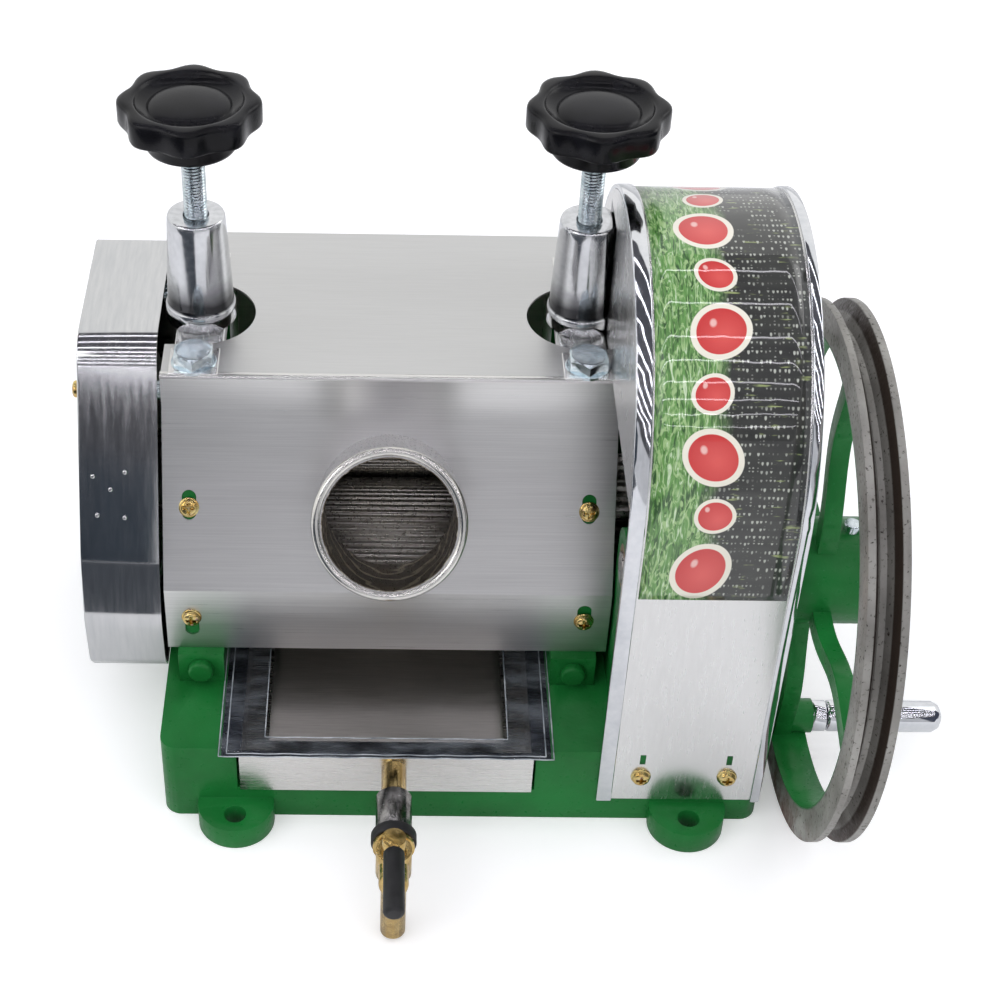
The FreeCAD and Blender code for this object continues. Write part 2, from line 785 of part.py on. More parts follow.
def feed_tube():
    """Round tube that leads the cane to the rollers, with a rolled rim and an inner flange."""
    body = turned("feed_tube", (0, 0, 0), "y", [
        ("0", "tube_bore"),
        ("tube_inside + tube_length", "tube_bore"),
        ("tube_inside + tube_length", "tube_rim"),
        ("tube_inside + tube_length - tube_rim_length", "tube_rim"),
        ("tube_inside + tube_length - tube_rim_length", "tube_radius"),
        ("tube_inside - sheet", "tube_radius"),
        ("tube_inside - sheet", "tube_flange"),
        ("tube_inside - 3", "tube_flange"),
        ("tube_inside - 3", "tube_radius"),
        ("0", "tube_radius"),
    ])
    turn = Rotation(Vector(1, 0, 0), -size("panel_tilt")).multiply(Rotation(Vector(0, 0, 1), -90))
    place(body, ("machine_x", *facet_point("tube_up", "-tube_inside")), turn)
    node("feed_tube", body)


def rear_panel():
    """Back sheet with the opening for the pressed cane, and its chute."""
    blank = box("rear_blank", (beside(-1, "cover_half"), "frame_back", "panel_bottom"),
                ("2 * cover_half", "sheet", f"{PANEL_TOP} - panel_bottom"))
    mouth = box("rear_mouth", (beside(-1, "outlet_half"), "frame_back - 1", "outlet_low"),
                ("2 * outlet_half", "sheet + 2", "outlet_high - outlet_low"))
    screws = []
    holes = []
    for side, sign in SIDES:
        for z in ("outlet_low - 20", "outlet_high + 20"):
            x = beside(sign, "panel_screw_x - 4")
            holes.append(rod("rear_hole", (x, "frame_back - 1", z), "y", "small_slot", "sheet + 2"))
            screws.append(turned("rear_screw", (x, "frame_back + sheet", z), "y",
                                 [(0, 0), (-0.9, 0), (-0.9, "small_screw"), (0, "small_screw"),
                                  (0, "small_screw_head"), (2.3, "small_screw_head"),
                                  ("small_screw_rise", "small_screw_head - 1.2"), ("small_screw_rise", 0)]))
    node("rear_panel", cut("rear_panel", blank, mouth, *holes))
    node("rear_panel_screws", group("rear_panel_screws", *screws))
    inside = "outlet_half - seat_gap"
    start = "frame_back - 8"
    floor = [(start, "outlet_low + 2.2"), ("frame_back + 2", "outlet_low + 2.2"),
             ("chute_end", "outlet_low + 2.2 - chute_drop")]
    under = [(y, f"{z} - 1.5 * sheet") for y, z in floor]
    cheek = [(start, "outlet_low + 2.2"), (start, "outlet_low + 26"), ("frame_back + 8", "outlet_low + 26"),
             ("chute_end", "outlet_low + 12 - chute_drop"), floor[2], floor[1]]
    pan = side_slab("chute_floor", floor + [(under[2][0], under[2][1]), (f"{under[1][0]}", under[1][1]),
                                            under[0]], beside(-1, inside), f"2 * ({inside})")
    flange_out = [box("chute_flange_" + side, (span(sign, f"{inside} - sheet", "14"), "frame_back + sheet",
                                               "outlet_low - 2"), ("14", "sheet", "26"))
                  for side, sign in SIDES]
    cheeks = [side_slab("chute_cheek_" + side, cheek, span(sign, f"{inside} - sheet", "sheet"), "sheet")
              for side, sign in SIDES]
    node("outlet_chute", joined("outlet_chute", pan, *cheeks, *flange_out))


def left_cover():
    """Bent cover over the roller gears, open towards the frame, on three studs."""
    def profile(inside):
        """Corners of the cover, moved inwards."""
        return [
            (f"left_back - {inside}", f"left_bottom + {inside}"),
            (f"left_back - {inside}", f"cover_height - {inside}"),
            (f"upper_y - left_fold_y + 0.55 * {inside}", f"cover_height - {inside}"),
            (f"upper_y - left_nose_y + 1.15 * {inside}", f"upper_z - left_nose_z - 0.2 * {inside}"),
            (f"upper_y - left_belly_y + 1.02 * {inside}", f"upper_z - left_belly_z - 0.05 * {inside}"),
            (f"upper_y - left_chin_y + 1.05 * {inside}", f"upper_z - left_chin_z + 0.1 * {inside}"),
            (f"upper_y - left_foot_y + 0.8 * {inside}", f"left_bottom + {inside}"),
        ]
    def fold(edge):
        """True for the edge along X between the top and the leaning front."""
        middle = edge.CenterOfMass
        return (edge.BoundBox.XLength > 0.99 * edge.Length
                and abs(middle.y - size("upper_y") + size("left_fold_y")) < 3
                and middle.z > size("cover_height") - 3)
    outer = rounded("left_outer_form",
                    side_slab("left_outer_blank", profile("0"), "left_outer", "left_inner - left_outer"),
                    size("left_fold"), fold)
    inner = rounded("left_inner_form",
                    side_slab("left_inner_blank", profile("sheet"), "left_outer + sheet",
                              "left_inner - left_outer"), size("left_fold") - size("sheet"), fold)
    holes = []
    studs = []
    screws = []
    for y, z in stud_places():
        holes.append(rod("stud_hole", ("left_outer - 1", y, z), "x", "small_slot", "sheet + 2"))
        reach = "frame_left - left_outer - sheet"
        studs.append(turned("cover_stud", ("left_outer + sheet", y, z), "x", [
            (0, "small_screw + fit"), (12, "small_screw + fit"), (12, 0), (f"{reach} + stud_thread", 0),
            (f"{reach} + stud_thread", "stud_radius"), (reach, "stud_radius"),
            (reach, "small_screw_head"), (0, "small_screw_head")]))
        screws.append(pan_screw("cover_screw", ("left_outer - small_screw_rise", y, z), "x", 14))
    node("left_gear_cover", cut("left_gear_cover", outer, inner, *holes))
    node("cover_studs", group("cover_studs", *studs))
    node("cover_screws", group("cover_screws", *screws))


ARCH_Y = "guard_front + guard_radius"


def arch(name, x, width, depth, bottom):
    """Solid arch: a flat front, a round top and a flat back, at a depth below the beads."""
    radius = f"guard_radius - ({depth})"
    half = box(name + "_legs", (x, f"{ARCH_Y} - ({radius})", bottom),
               (width, f"2 * ({radius})", f"guard_arch_z - ({bottom})"))
    return joined(name, half, rod(name + "_round", (x, ARCH_Y, "guard_arch_z"), "x", radius, width))


def guard_strip(name, x, width, depth, thickness, bottom):
    """Bent strip that follows the arch and stands on the base at the back."""
    outer = arch(name + "_outer", x, width, depth, bottom)
    inner = arch(name + "_inner", f"{x} - 1", f"{width} + 2", f"{depth} + {thickness}", f"{bottom} - 1")
    keep_out = box(name + "_rear_cut", (f"{x} - 2", ARCH_Y, f"{bottom} - 2"),
                   (f"{width} + 4", "2 * guard_radius", f"base_height - ({bottom}) + 2"))
    return cut(name, outer, inner, keep_out)


def guard():
    """Right-hand guard: bent front sheet between two beads, side plates and two screws."""
    skin = "bead_thickness - sheet"
    inside = "guard_left + bead_left_width"
    width = "guard_right - bead_right_width - guard_left - bead_left_width"
    strip = guard_strip("guard_sheet_bend", inside, width, skin, "sheet", "guard_bottom")
    foot = box("guard_rear_foot", (inside, f"{ARCH_Y} + guard_radius - ({skin})", "base_height"),
               (width, "guard_foot", "sheet"))
    holes = []
    screws = []
    for x in guard_screw_places():
        holes.append(rod("guard_hole", (x, "guard_front - 1", "guard_screw_z"), "y", "small_slot", 5))
        holes.append(box("guard_slot", (f"{x} - 1.5", "guard_front - 1", "guard_screw_z + 9"), (3, 5, 7)))
        screws.append(pan_screw("guard_screw", (x, "guard_front + bead_thickness - sheet - small_screw_rise",
                                                "guard_screw_z"), "y", 13))
    node("guard_front_sheet", cut("guard_front_sheet", joined("guard_sheet_whole", strip, foot), *holes))
    node("guard_screws", group("guard_screws", *screws))
    left = guard_strip("bead_left", "guard_left", "bead_left_width", 0, "bead_thickness",
                       "guard_bottom - 1")
    right = guard_strip("bead_right", "guard_right - bead_right_width", "bead_right_width", 0,
                        "bead_thickness", "guard_bottom - 1")
    node("guard_beads", group("guard_beads", left, right))
    disc = rod("inner_plate_disc", ("guard_left", ARCH_Y, "guard_arch_z"), "x",
               "guard_radius - bead_thickness", "sheet")
    below = box("inner_plate_below", ("guard_left - 1", f"{ARCH_Y} - guard_radius", 0),
                ("sheet + 2", "2 * guard_radius", "cover_height + seat_gap"))
    beside_cone = rod("inner_plate_notch", (beside(1, "press_x"), "upper_y", 0), "z",
                      "cone_flange + 1", "cone_top + 3")
    above = cut("inner_plate", disc, below, beside_cone)
    outer = arch("outer_plate_form", "guard_right - sheet", "sheet", "bead_thickness", "base_height")
    opening = rod("shaft_opening", ("guard_right - 10", *WHEEL), "x", "shaft_radius + 6", 20)
    plate = cut("guard_outer_plate", outer, opening)
    node("guard_side_plates", group("guard_side_plates", above, plate))


def bearing_bracket():
    """Cast bracket with an ear and a wall that carry the input shaft, and its bushes and bolts."""
    foot = box("bracket_foot", ("ear_x", "bracket_front", "base_height"),
               ("wall_x + wall_width - ear_x", "bracket_back - bracket_front", "bracket_foot"))
    bush = "shaft_radius + fit + input_bush_wall"
    boss = f"{bush} + boss_wall"
    parts = [foot]
    bores = []
    for name, x, width in (("ear", "ear_x", "ear_width"), ("wall", "wall_x", "wall_width")):
        parts.append(rod(name + "_boss", (x, *WHEEL), "x", boss, width))
        parts.append(box(name + "_web", (x, f"{WHEEL[0]} - ({boss})", "base_height"),
                         (width, f"2 * ({boss})", f"{WHEEL[1]} - base_height")))
        bores.append(rod(name + "_bore", (f"{x} - 1", *WHEEL), "x", bush, f"{width} + 2"))
    tie = [(f"{WHEEL[0]} - ({boss})", "base_height"), (f"{WHEEL[0]} + 6", f"{WHEEL[1]} + 18"),
           (f"{COUNTER[0]} + 4", f"{COUNTER[1]} + 15.5"), (f"{COUNTER[0]} + 16", COUNTER[1]),
           ("bracket_back", "base_height + bracket_foot"), ("bracket_back", "base_height")]
    parts.append(side_slab("wall_web_plate", tie, "wall_x", "wall_width"))
    parts.append(rod("counter_boss", ("wall_x", *COUNTER), "x", "pin_radius + boss_wall", "wall_width"))
    bores.append(rod("counter_pin_bore", ("wall_x - 1", *COUNTER), "x", "pin_radius", "wall_width + 2"))
    bolts = []
    for x, y in bracket_bolt_places():
        bores.append(rod("bracket_hole", (x, y, "base_height - 1"), "z", "bracket_bolt + seat_gap",
                         "bracket_foot + 2"))
        shank = rod("bracket_shank", (x, y, "base_height - base_top"), "z", "bracket_bolt",
                    "bracket_foot + base_top")
        bolts.append(joined("bracket_bolt", shank,
                            hexagon("bracket_head", (x, y, "base_height + bracket_foot"),
                                    "bracket_bolt_flats", "bracket_bolt_rise")))
    node("bearing_bracket", cut("bearing_bracket", joined("bracket_whole", *parts), *bores))
    node("bracket_bolts", group("bracket_bolts", *bolts))
    bushes = [ring("input_bush", (x, *WHEEL), "x", "shaft_radius + fit", bush, width)
              for x, width in (("ear_x", "ear_width"), ("wall_x", "wall_width"))]
    node("input_bushes", group("input_bushes", *bushes))
    start = beside(1, "frame_inner + 2")
    node("counter_pin", rod("counter_pin", (start, *COUNTER), "x", "pin_radius",
                            f"wall_x + wall_width - ({start})"))


def turner_plate():
    """Curved plate under the upper roller that turns the cane from the front to the rear roller."""
    def arc_face(radius, angle):
        """Points at one radius below the upper roller's axis."""
        return Vector(0, radius * math.sin(angle), -radius * math.cos(angle))
    near = size("roller_radius") + 1.6
    far = near + 3
    half = math.radians(16)
    length = size("roller_length") + 2 * size("roller_play")
    edges = [
        Part.Arc(arc_face(near, -half), arc_face(near, 0), arc_face(near, half)).toShape(),
        Part.LineSegment(arc_face(near, half), arc_face(far, half)).toShape(),
        Part.Arc(arc_face(far, half), arc_face(far, 0), arc_face(far, -half)).toShape(),
        Part.LineSegment(arc_face(far, -half), arc_face(near, -half)).toShape(),
    ]
    blade = Part.Face(Part.Wire(edges)).extrude(Vector(length, 0, 0))
    rib = Part.makeBox(length, 6, 22, Vector(0, -3, -far - 21.5))
    node("turner_plate", formed("turner_plate", blade.fuse(rib).removeSplitter(),
                                (beside(-1, "frame_inner"), *UPPER)))


def involute_gear(teeth, width, bore, turn):
    """Spur gear along X with a tooth centred at an angle from +Y towards +Z."""
    pitch = size("module") * teeth / 2
    angle = math.radians(size("pressure_angle"))
    base = pitch * math.cos(angle)
    tip = pitch + size("module")
    root = pitch - 1.25 * size("module")
    half_tooth = (math.pi * size("module") / 2 - size("backlash") / 2) / 2 / pitch
    spread = math.tan(angle) - angle

    def flank(radius):
        """Half the angle that the tooth takes at a radius."""
        roll = math.acos(min(1.0, base / radius))
        return half_tooth + spread - (math.tan(roll) - roll)

    def at(radius, direction):
        """Point of the gear's outline."""
        return Vector(0, radius * math.cos(direction), radius * math.sin(direction))

    start = max(base, root)
    middle = (start + tip) / 2
    edges = []
    for tooth in range(teeth):
        centre = turn + tooth * math.tau / teeth
        after = centre + math.tau / teeth
        if root < base:
            edges.append(Part.LineSegment(at(root, centre - flank(start)), at(start, centre - flank(start))))
        edges.append(Part.Arc(at(start, centre - flank(start)), at(middle, centre - flank(middle)),
                              at(tip, centre - flank(tip))))
        edges.append(Part.Arc(at(tip, centre - flank(tip)), at(tip, centre), at(tip, centre + flank(tip))))
        edges.append(Part.Arc(at(tip, centre + flank(tip)), at(middle, centre + flank(middle)),
                              at(start, centre + flank(start))))
        if root < base:
            edges.append(Part.LineSegment(at(start, centre + flank(start)), at(root, centre + flank(start))))
        edges.append(Part.Arc(at(root, centre + flank(start)), at(root, (centre + after) / 2),
                              at(root, after - flank(start))))
    face = Part.Face(Part.Wire([edge.toShape() for edge in edges]))
    blank = face.extrude(Vector(width, 0, 0))
    return blank.cut(Part.makeCylinder(bore, width + 2, Vector(-1, 0, 0), Vector(1, 0, 0)))


def mate(turn, teeth, mate_teeth, direction):
    """Turn of a gear whose space lies on the tooth of its mate, seen in a direction from that mate."""
    phase = (direction - turn) * teeth / math.tau
    return direction + math.pi - (0.5 - phase) * math.tau / mate_teeth


def ribbed_barrel():
    """Roller barrel with fine ribs along its length, between x = 0 and its length."""
    radius = size("roller_radius")
    low = radius - size("rib_depth")
    ribs = int(size("roller_ribs"))
    step = math.tau / ribs
    points = []
    for rib in range(ribs):
        for share, distance in ((0, low), (0.3, low), (0.5, radius), (0.8, radius)):
            angle = (rib + share) * step
            points.append(Vector(0, distance * math.cos(angle), distance * math.sin(angle)))
    face = Part.Face(Part.makePolygon(points + points[:1]))
    return face.extrude(Vector(size("roller_length"), 0, 0))


def rollers():
    """Three ribbed rollers on their shafts, with gears at the left and the drive gear at the right."""
    teeth = int(size("roller_teeth"))
    drop = math.atan2(math.sqrt((size("module") * teeth) ** 2 - size("lower_half") ** 2),
                      size("lower_half"))
    upper_turn = 0.0
    turns = {"upper": upper_turn,
             "front": mate(upper_turn, teeth, teeth, math.pi + drop),
             "rear": mate(upper_turn, teeth, teeth, -drop)}
    gear_end = "roller_gear_x - 3"
    barrel_x = beside(-1, "roller_length / 2")
    for name, centre, right in (("upper", UPPER, "shaft_right"),
                                ("front", FRONT, "drive_gear_x + drive_gear_width"),
                                ("rear", REAR, "shaft_right")):
        barrel = formed(name + "_barrel", ribbed_barrel(), (barrel_x, *centre))
        shaft = rod(name + "_shaft", (gear_end, *centre), "x", "journal", f"{right} - ({gear_end})")
        node(name + "_roller", joined(name + "_roller", barrel, shaft))
        gear = involute_gear(teeth, size("roller_gear_width"), size("journal"), turns[name])
        node(name + "_roller_gear", formed(name + "_roller_gear", gear, ("roller_gear_x", *centre)))


def reduction():
    """Input pinion, counter gear with its pinion, and the drive gear on the front roller."""
    pinion = int(size("pinion_teeth"))
    large = int(size("counter_teeth"))
    drive = int(size("drive_teeth"))
    to_counter = math.radians(size("counter_angle"))
    to_wheel = math.radians(size("wheel_angle"))
    drive_turn = 0.0
    small_turn = mate(drive_turn, drive, pinion, to_counter)
    large_turn = 0.0
    input_turn = mate(large_turn, large, pinion, to_wheel)
    bore = size("pin_radius") + size("fit")
    driven = involute_gear(drive, size("drive_gear_width"), size("journal"), drive_turn)
    node("front_drive_gear", formed("front_drive_gear", driven, ("drive_gear_x", *FRONT)))
    length = size("drive_gear_width") + size("large_gear_gap")
    small = involute_gear(pinion, length, bore, small_turn)
    node("counter_pinion", formed("counter_pinion", small, ("drive_gear_x", *COUNTER)))
    node("counter_gear", formed("counter_gear", involute_gear(large, size("large_gear_width"), bore,
                                                              large_turn), ("large_gear_x", *COUNTER)))
    key_height = size("shaft_radius") + 2.2
    keyway = Part.makeBox(size("large_gear_width") + 2, 5, key_height, Vector(-1, -2.5, 0))
    first = involute_gear(pinion, size("large_gear_width"), size("shaft_radius"), input_turn)
    node("input_pinion", formed("input_pinion", first.cut(keyway), ("large_gear_x", *WHEEL)))
    node("pinion_key", box("pinion_key", ("large_gear_x", f"{WHEEL[0]} - 2.5", f"{WHEEL[1]} + 5"),
                           ("large_gear_width", "5", "shaft_radius - 5 + 2.2")))


def input_shaft():
    """Shaft of the flywheel, with the seat of the pinion's key."""
    bar = rod("input_bar", ("ear_x - 1", *WHEEL), "x", "shaft_radius", "hub_end - ear_x + 1")
    seat = box("key_seat", ("large_gear_x", f"{WHEEL[0]} - 2.5", f"{WHEEL[1]} + 5"),
               ("large_gear_width", "5", "shaft_radius"))
    node("input_shaft", cut("input_shaft", bar, seat))


def spoke(angle):
    """One curved spoke in the wheel's plane, from the hub to the rim."""
    inner = size("hub_radius") - 4
    outer = size("rim_inner") + 2
    sweep = math.radians(size("spoke_sweep"))
    left = []
    right = []
    steps = 8
    for step in range(steps + 1):
        share = step / steps
        radius = inner + (outer - inner) * share
        bend = angle + sweep * (1 - share) ** 2 - 0.35 * sweep * math.sin(math.pi * share) ** 2
        width = size("spoke_width") * (0.62 + 0.6 * (share - 0.5) ** 2)
        for edge, side in ((left, 1), (right, -1)):
            turn = bend + side * width / 2 / radius
            edge.append(Vector(0, radius * math.cos(turn), radius * math.sin(turn)))
    curves = []
    for edge in (left, right[::-1]):
        curve = Part.BSplineCurve()
        curve.interpolate(edge)
        curves.append(curve.toShape())
    closing = [Part.LineSegment(left[-1], right[-1]).toShape(), Part.LineSegment(right[0], left[0]).toShape()]
    face = Part.Face(Part.Wire([curves[0], closing[0], curves[1], closing[1]]))
    return face.extrude(Vector(size("spoke_thickness"), 0, 0))


def flywheel():
    """Cast wheel with a grooved rim, curved spokes, a hub and the crank's boss."""
    half_mouth = "rim_width / 2 - groove_land"
    rim = turned("rim", ("rim_x", *WHEEL), "x", [
        (0, "rim_inner"), ("rim_width", "rim_inner"), ("rim_width", "rim_radius"),
        (f"rim_width / 2 + {half_mouth}", "rim_radius"),
        ("rim_width / 2 + groove_floor / 2", "rim_radius - groove_depth"),
        ("rim_width / 2 - groove_floor / 2", "rim_radius - groove_depth"),
        (f"rim_width / 2 - ({half_mouth})", "rim_radius"), (0, "rim_radius")])
    hub = rod("hub", ("hub_x", *WHEEL), "x", "hub_radius", "hub_end - hub_x")
    spokes = []
    for number in range(int(size("spoke_count"))):
        angle = math.tau * number / size("spoke_count") + math.radians(2)
        spokes.append(formed(f"spoke_{number}", spoke(angle), ("spoke_x", *WHEEL)))
    boss = rod("crank_boss_form", ("rim_x", *CRANK), "x", "crank_boss", "hub_end - 5 - rim_x")
    bore = rod("hub_bore", ("hub_x - 1", *WHEEL), "x", "shaft_radius", "hub_end - hub_x + 2")
    stud_hole = rod("stud_hole", ("spoke_x - 5", *CRANK), "x", "crank_stud",
                    "hub_end - spoke_x + 10")
    set_hole = rod("set_hole", ("hub_end - set_screw_inset", WHEEL[0], f"{WHEEL[1]} + shaft_radius"), "z",
                   "set_screw", "hub_radius")
    node("flywheel", cut("flywheel", joined("wheel_whole", rim, hub, boss, *spokes), bore, stud_hole,
                         set_hole))
    node("hub_set_screw", rod("hub_set_screw", ("hub_end - set_screw_inset", WHEEL[0],
                                                f"{WHEEL[1]} + shaft_radius"), "z", "set_screw",
                              "hub_radius - shaft_radius + set_screw_rise"))


def crank():
    """Stud, nut and turning grip of the crank."""
    seat = "rim_x"
    collar = "hub_end - 5"
    nut = cut("crank_nut", hexagon("crank_nut_form", ("crank_nut_x", *CRANK), "bolt_flats",
                                  f"{seat} - crank_nut_x", "x"),
              rod("crank_nut_bore", ("crank_nut_x - 1", *CRANK), "x", "crank_stud", 20))
    node("crank_nut", nut)
    reach = "grip_end - 6"
    start = "crank_nut_x - 2"
    node("crank_stud", turned("crank_stud", (start, *CRANK), "x", [
        (0, 0), (0, "crank_stud"), (f"{collar} - ({start})", "crank_stud"),
        (f"{collar} - ({start})", "crank_collar"), (f"grip_x - 0.5 - ({start})", "crank_collar"),
        (f"grip_x - 0.5 - ({start})", "crank_stud"), (f"{reach} - ({start})", "crank_stud"),
        (f"{reach} - ({start})", 0)]))
    length = "grip_end - grip_x"
    node("crank_grip", turned("crank_grip", ("grip_x", *CRANK), "x", [
        (0, "crank_stud + fit"), (f"{length} - 5", "crank_stud + fit"), (f"{length} - 5", 0),
        (length, 0), (length, "grip_radius - 5"), (f"{length} - 1.5", "grip_radius - 2"),
        (f"{length} - 5", "grip_radius"), (1, "grip_radius"), (0, "grip_radius - 1")]))


def pressure_units():
    """Sliding blocks, pushers, springs, caps, screws and lobed knobs."""
    blocks = []
    pushers = []
    for side, sign in SIDES:
        x = span(sign, "frame_inner", "frame_width")
        axis = beside(sign, "press_x")
        blank = box("block_blank_" + side, (x, "upper_y - block_half", "upper_z - block_bottom"),
                    ("frame_width", "2 * block_half", "block_bottom + block_top"))
        bore = rod("block_bore", (f"{x} - 1", *UPPER), "x", "journal + fit", "frame_width + 2")
        blocks.append(cut("bearing_block_" + side, blank, bore))
        foot = "upper_z + block_top"
        pushers.append(turned("spring_pusher_" + side, (axis, "upper_y", foot), "z", [
            (0, 0), (0, 6), (f"pusher_top - pusher_disc - ({foot})", 6),
            (f"pusher_top - pusher_disc - ({foot})", "pusher_radius"),
            (f"pusher_top - ({foot})", "pusher_radius"), (f"pusher_top - ({foot})", 0)]))
        node("spring_cap_" + side, rod("spring_cap_" + side, (axis, "upper_y", "screw_bottom - cap_height"),
                                       "z", "pusher_radius", "cap_height"))
        low = size("pusher_top") + size("wire_radius") + 0.1
        high = size("screw_bottom") - size("cap_height") - size("wire_radius") - 0.1
        path = Part.makeHelix((high - low) / size("coil_turns"), high - low, size("coil_radius"))
        section = Part.Wire(Part.makeCircle(size("wire_radius"), Vector(size("coil_radius"), 0, 0),
                                            Vector(0, 1, 0)))
        coil = Part.Wire(path.Edges).makePipeShell([section], True, True)
        node("spring_" + side, formed("spring_" + side, coil,
                                      (axis, "upper_y", "pusher_top + wire_radius + 0.1")))
        node("pressure_screw_" + side, rod("pressure_screw_" + side, (axis, "upper_y", "screw_bottom"), "z",
                                           "screw_radius", "knob_top - 2 - screw_bottom"))
        disc = formed("knob_disc_" + side, lobed_disc(), (axis, "upper_y", "knob_top - knob_disc"))
        skirt = rod("knob_skirt_" + side, (axis, "upper_y", "knob_bottom"), "z", "knob_skirt",
                    "knob_top - knob_disc / 2 - knob_bottom")
        hole = rod("knob_bore_" + side, (axis, "upper_y", "knob_bottom - 1"), "z", "screw_radius",
                   "knob_top - 1 - knob_bottom")
        node("knob_" + side, cut("knob_" + side, joined("knob_whole_" + side, disc, skirt), hole))
    node("bearing_blocks", group("bearing_blocks", *blocks))
    node("spring_pushers", group("spring_pushers", *pushers))


def lobed_disc():
    """Disc of the hand knob, with shallow hollows between its lobes."""
    lobes = int(size("knob_lobes"))
    points = []
    for step in range(lobes * 6):
        angle = math.tau * step / (lobes * 6)
        radius = size("knob_radius") - size("knob_lobe") * (1 - math.cos(lobes * angle))
        points.append(Vector(radius * math.cos(angle), radius * math.sin(angle), 0))
    curve = Part.BSplineCurve()
    curve.interpolate(points, True)
    return Part.Face(Part.Wire(curve.toShape())).extrude(Vector(0, 0, size("knob_disc")))


def tray():
    """Juice tray with a flat lip, and the strainer plate that stands in it."""
    shell = box("tray_shell", (beside(-1, "tray_half"), "tray_front", "tray_bottom"),
                ("2 * tray_half", "tray_back - tray_front", "tray_top - tray_bottom"))
    lip = box("tray_lip", (beside(-1, "lip_half"), "lip_front", "tray_top"),
              ("2 * lip_half", "tray_back + 2 - lip_front", "lip_thickness"))
    hollow = box("tray_hollow", (beside(-1, "tray_half - sheet"), "tray_front + sheet",
                                 "tray_bottom + sheet"),
                 ("2 * (tray_half - sheet)", "tray_back - tray_front - 2 * sheet", "base_height"))
    nipple_hole = rod("nipple_hole", (beside(1, "tap_x"), "tray_front - 5", "tap_z"), "y", 6.5, 10)
    node("juice_tray", cut("juice_tray", joined("tray_whole", shell, lip), hollow, nipple_hole))
    top = box("strainer_sheet", (beside(-1, "strainer_half"), "strainer_front", "strainer_top - sheet"),
              ("2 * strainer_half", "strainer_back - strainer_front", "sheet"))
    skirts = [box("strainer_skirt_" + side, (span(sign, "strainer_half - sheet", "sheet"),
                                             "strainer_front", "tray_bottom + sheet + seat_gap"),
                  ("sheet", "strainer_back - strainer_front",
                   "strainer_top - tray_bottom - sheet - seat_gap")) for side, sign in SIDES]
    holes = [rod("strainer_hole", (f"machine_x + {column} * strainer_half / 5",
                                   f"strainer_back - 10 - {row} * 18", "strainer_top - 5"), "z", 2.5, 10)
             for row in range(10) for column in range(-4, 5)]
    node("strainer_plate", cut("strainer_plate", joined("strainer_whole", top, *skirts), *holes))


def tap():
    """Brass tap: nipple with collar, gasket, body with spout, plug with lever and a sleeve."""
    x = beside(1, "tap_x")
    gasket_back = "gasket_front + 6"
    nipple = "tray_front + sheet + 5"
    stem = turned("tap_stem", (x, "spout_y", "tap_z"), "y", [
        (0, 0), (0, 7.5), ("gasket_front - 3 - spout_y", 7.5), ("gasket_front - 3 - spout_y", 10.5),
        ("gasket_front - spout_y", 10.5), ("gasket_front - spout_y", 6.5),
        (f"{gasket_back} - spout_y", 6.5), (f"{gasket_back} - spout_y", "tap_collar"),
        ("tray_front - 20 - spout_y", "tap_collar"), ("tray_front - 20 - spout_y", 6.5),
        (f"{nipple} - spout_y", 6.5), (f"{nipple} - spout_y", 0)])
    housing = rod("plug_housing", (x, "tap_plug_y", "tap_z - 10"), "z", 9, "lever_z - 6 - tap_z + 10")
    spout = rod("spout", (x, "spout_y", "spout_bottom"), "z", "spout_radius", "tap_z - spout_bottom")
    elbow = doc.addObject("Part::Sphere", "elbow")
    elbow.Radius = 7.5
    place(elbow, (x, "spout_y", "tap_z"))
    way = rod("spout_way", (x, "spout_y", "spout_bottom - 1"), "z", 4.3, "tap_z - spout_bottom - 3")
    inlet = rod("inlet_way", (x, "tap_plug_y + 8", "tap_z"), "y", 4.3, f"{nipple} - tap_plug_y")
    seat = rod("plug_seat", (x, "tap_plug_y", "tap_z - 8"), "z", "6 + fit", 40)
    node("tap_body", cut("tap_body", joined("tap_whole", stem, housing, spout, elbow), way, inlet, seat))
    node("tap_gasket", ring("tap_gasket", (x, "gasket_front", "tap_z"), "y", 6.5, "gasket_radius", 6))
    plug = rod("plug", (x, "tap_plug_y", "tap_z - 7.7"), "z", 6, "lever_z + 2.5 - tap_z + 7.7")
    head = rod("lever_head", (x, "tap_plug_y", "lever_z - 5.7"), "z", "6", 8.5)
    arm = rod("lever_arm", (x, "sleeve_front + 3", "lever_z"), "y", 2.6, "tap_plug_y - sleeve_front - 3")
    bore = rod("plug_bore", (x, "tap_plug_y - 10", "tap_z"), "y", 4.3, 20)
    node("tap_lever", cut("tap_lever", joined("lever_whole", plug, head, arm), bore))
    node("tap_sleeve", turned("tap_sleeve", (x, "sleeve_front", "lever_z"), "y", [
        (0, 0), (0, 3.5), (1.5, "sleeve_radius"), ("sleeve_back - sleeve_front - 1.5", "sleeve_radius"),
        ("sleeve_back - sleeve_front", "sleeve_radius - 1"), ("sleeve_back - sleeve_front", 2.6),
        (3, 2.6), (3, 0)]))


base_casting()
side_frames()
frame_bolts()
lower_bushes()
bridge_plates()
spring_housings()
top_cover()
front_panel()
feed_tube()
rear_panel()
left_cover()
guard()
bearing_bracket()
turner_plate()
rollers()
reduction()
input_shaft()
flywheel()
crank()
pressure_units()
tray()
tap()
doc.recompute()

faults = [item.Label for item in doc.Objects if "Invalid" in item.State or "Error" in item.State]
faults += [name for name, piece in nodes.items() if piece.Shape.isNull() or not piece.Shape.isValid()]
if faults:
    raise RuntimeError("Failed pieces: " + ", ".join(faults))
for name, piece in nodes.items():
    piece.Shape.exportStep(f"parts/{name}.step")
print(len(nodes), "sub-parts")
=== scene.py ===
"""Looks of the hand-cranked sugarcane juicer: finishes, detailed pieces, floor, lamps and camera.

Metres, in the frame of the CAD model: +X to the flywheel side, +Y to the back, +Z up.
"""

import json
import math

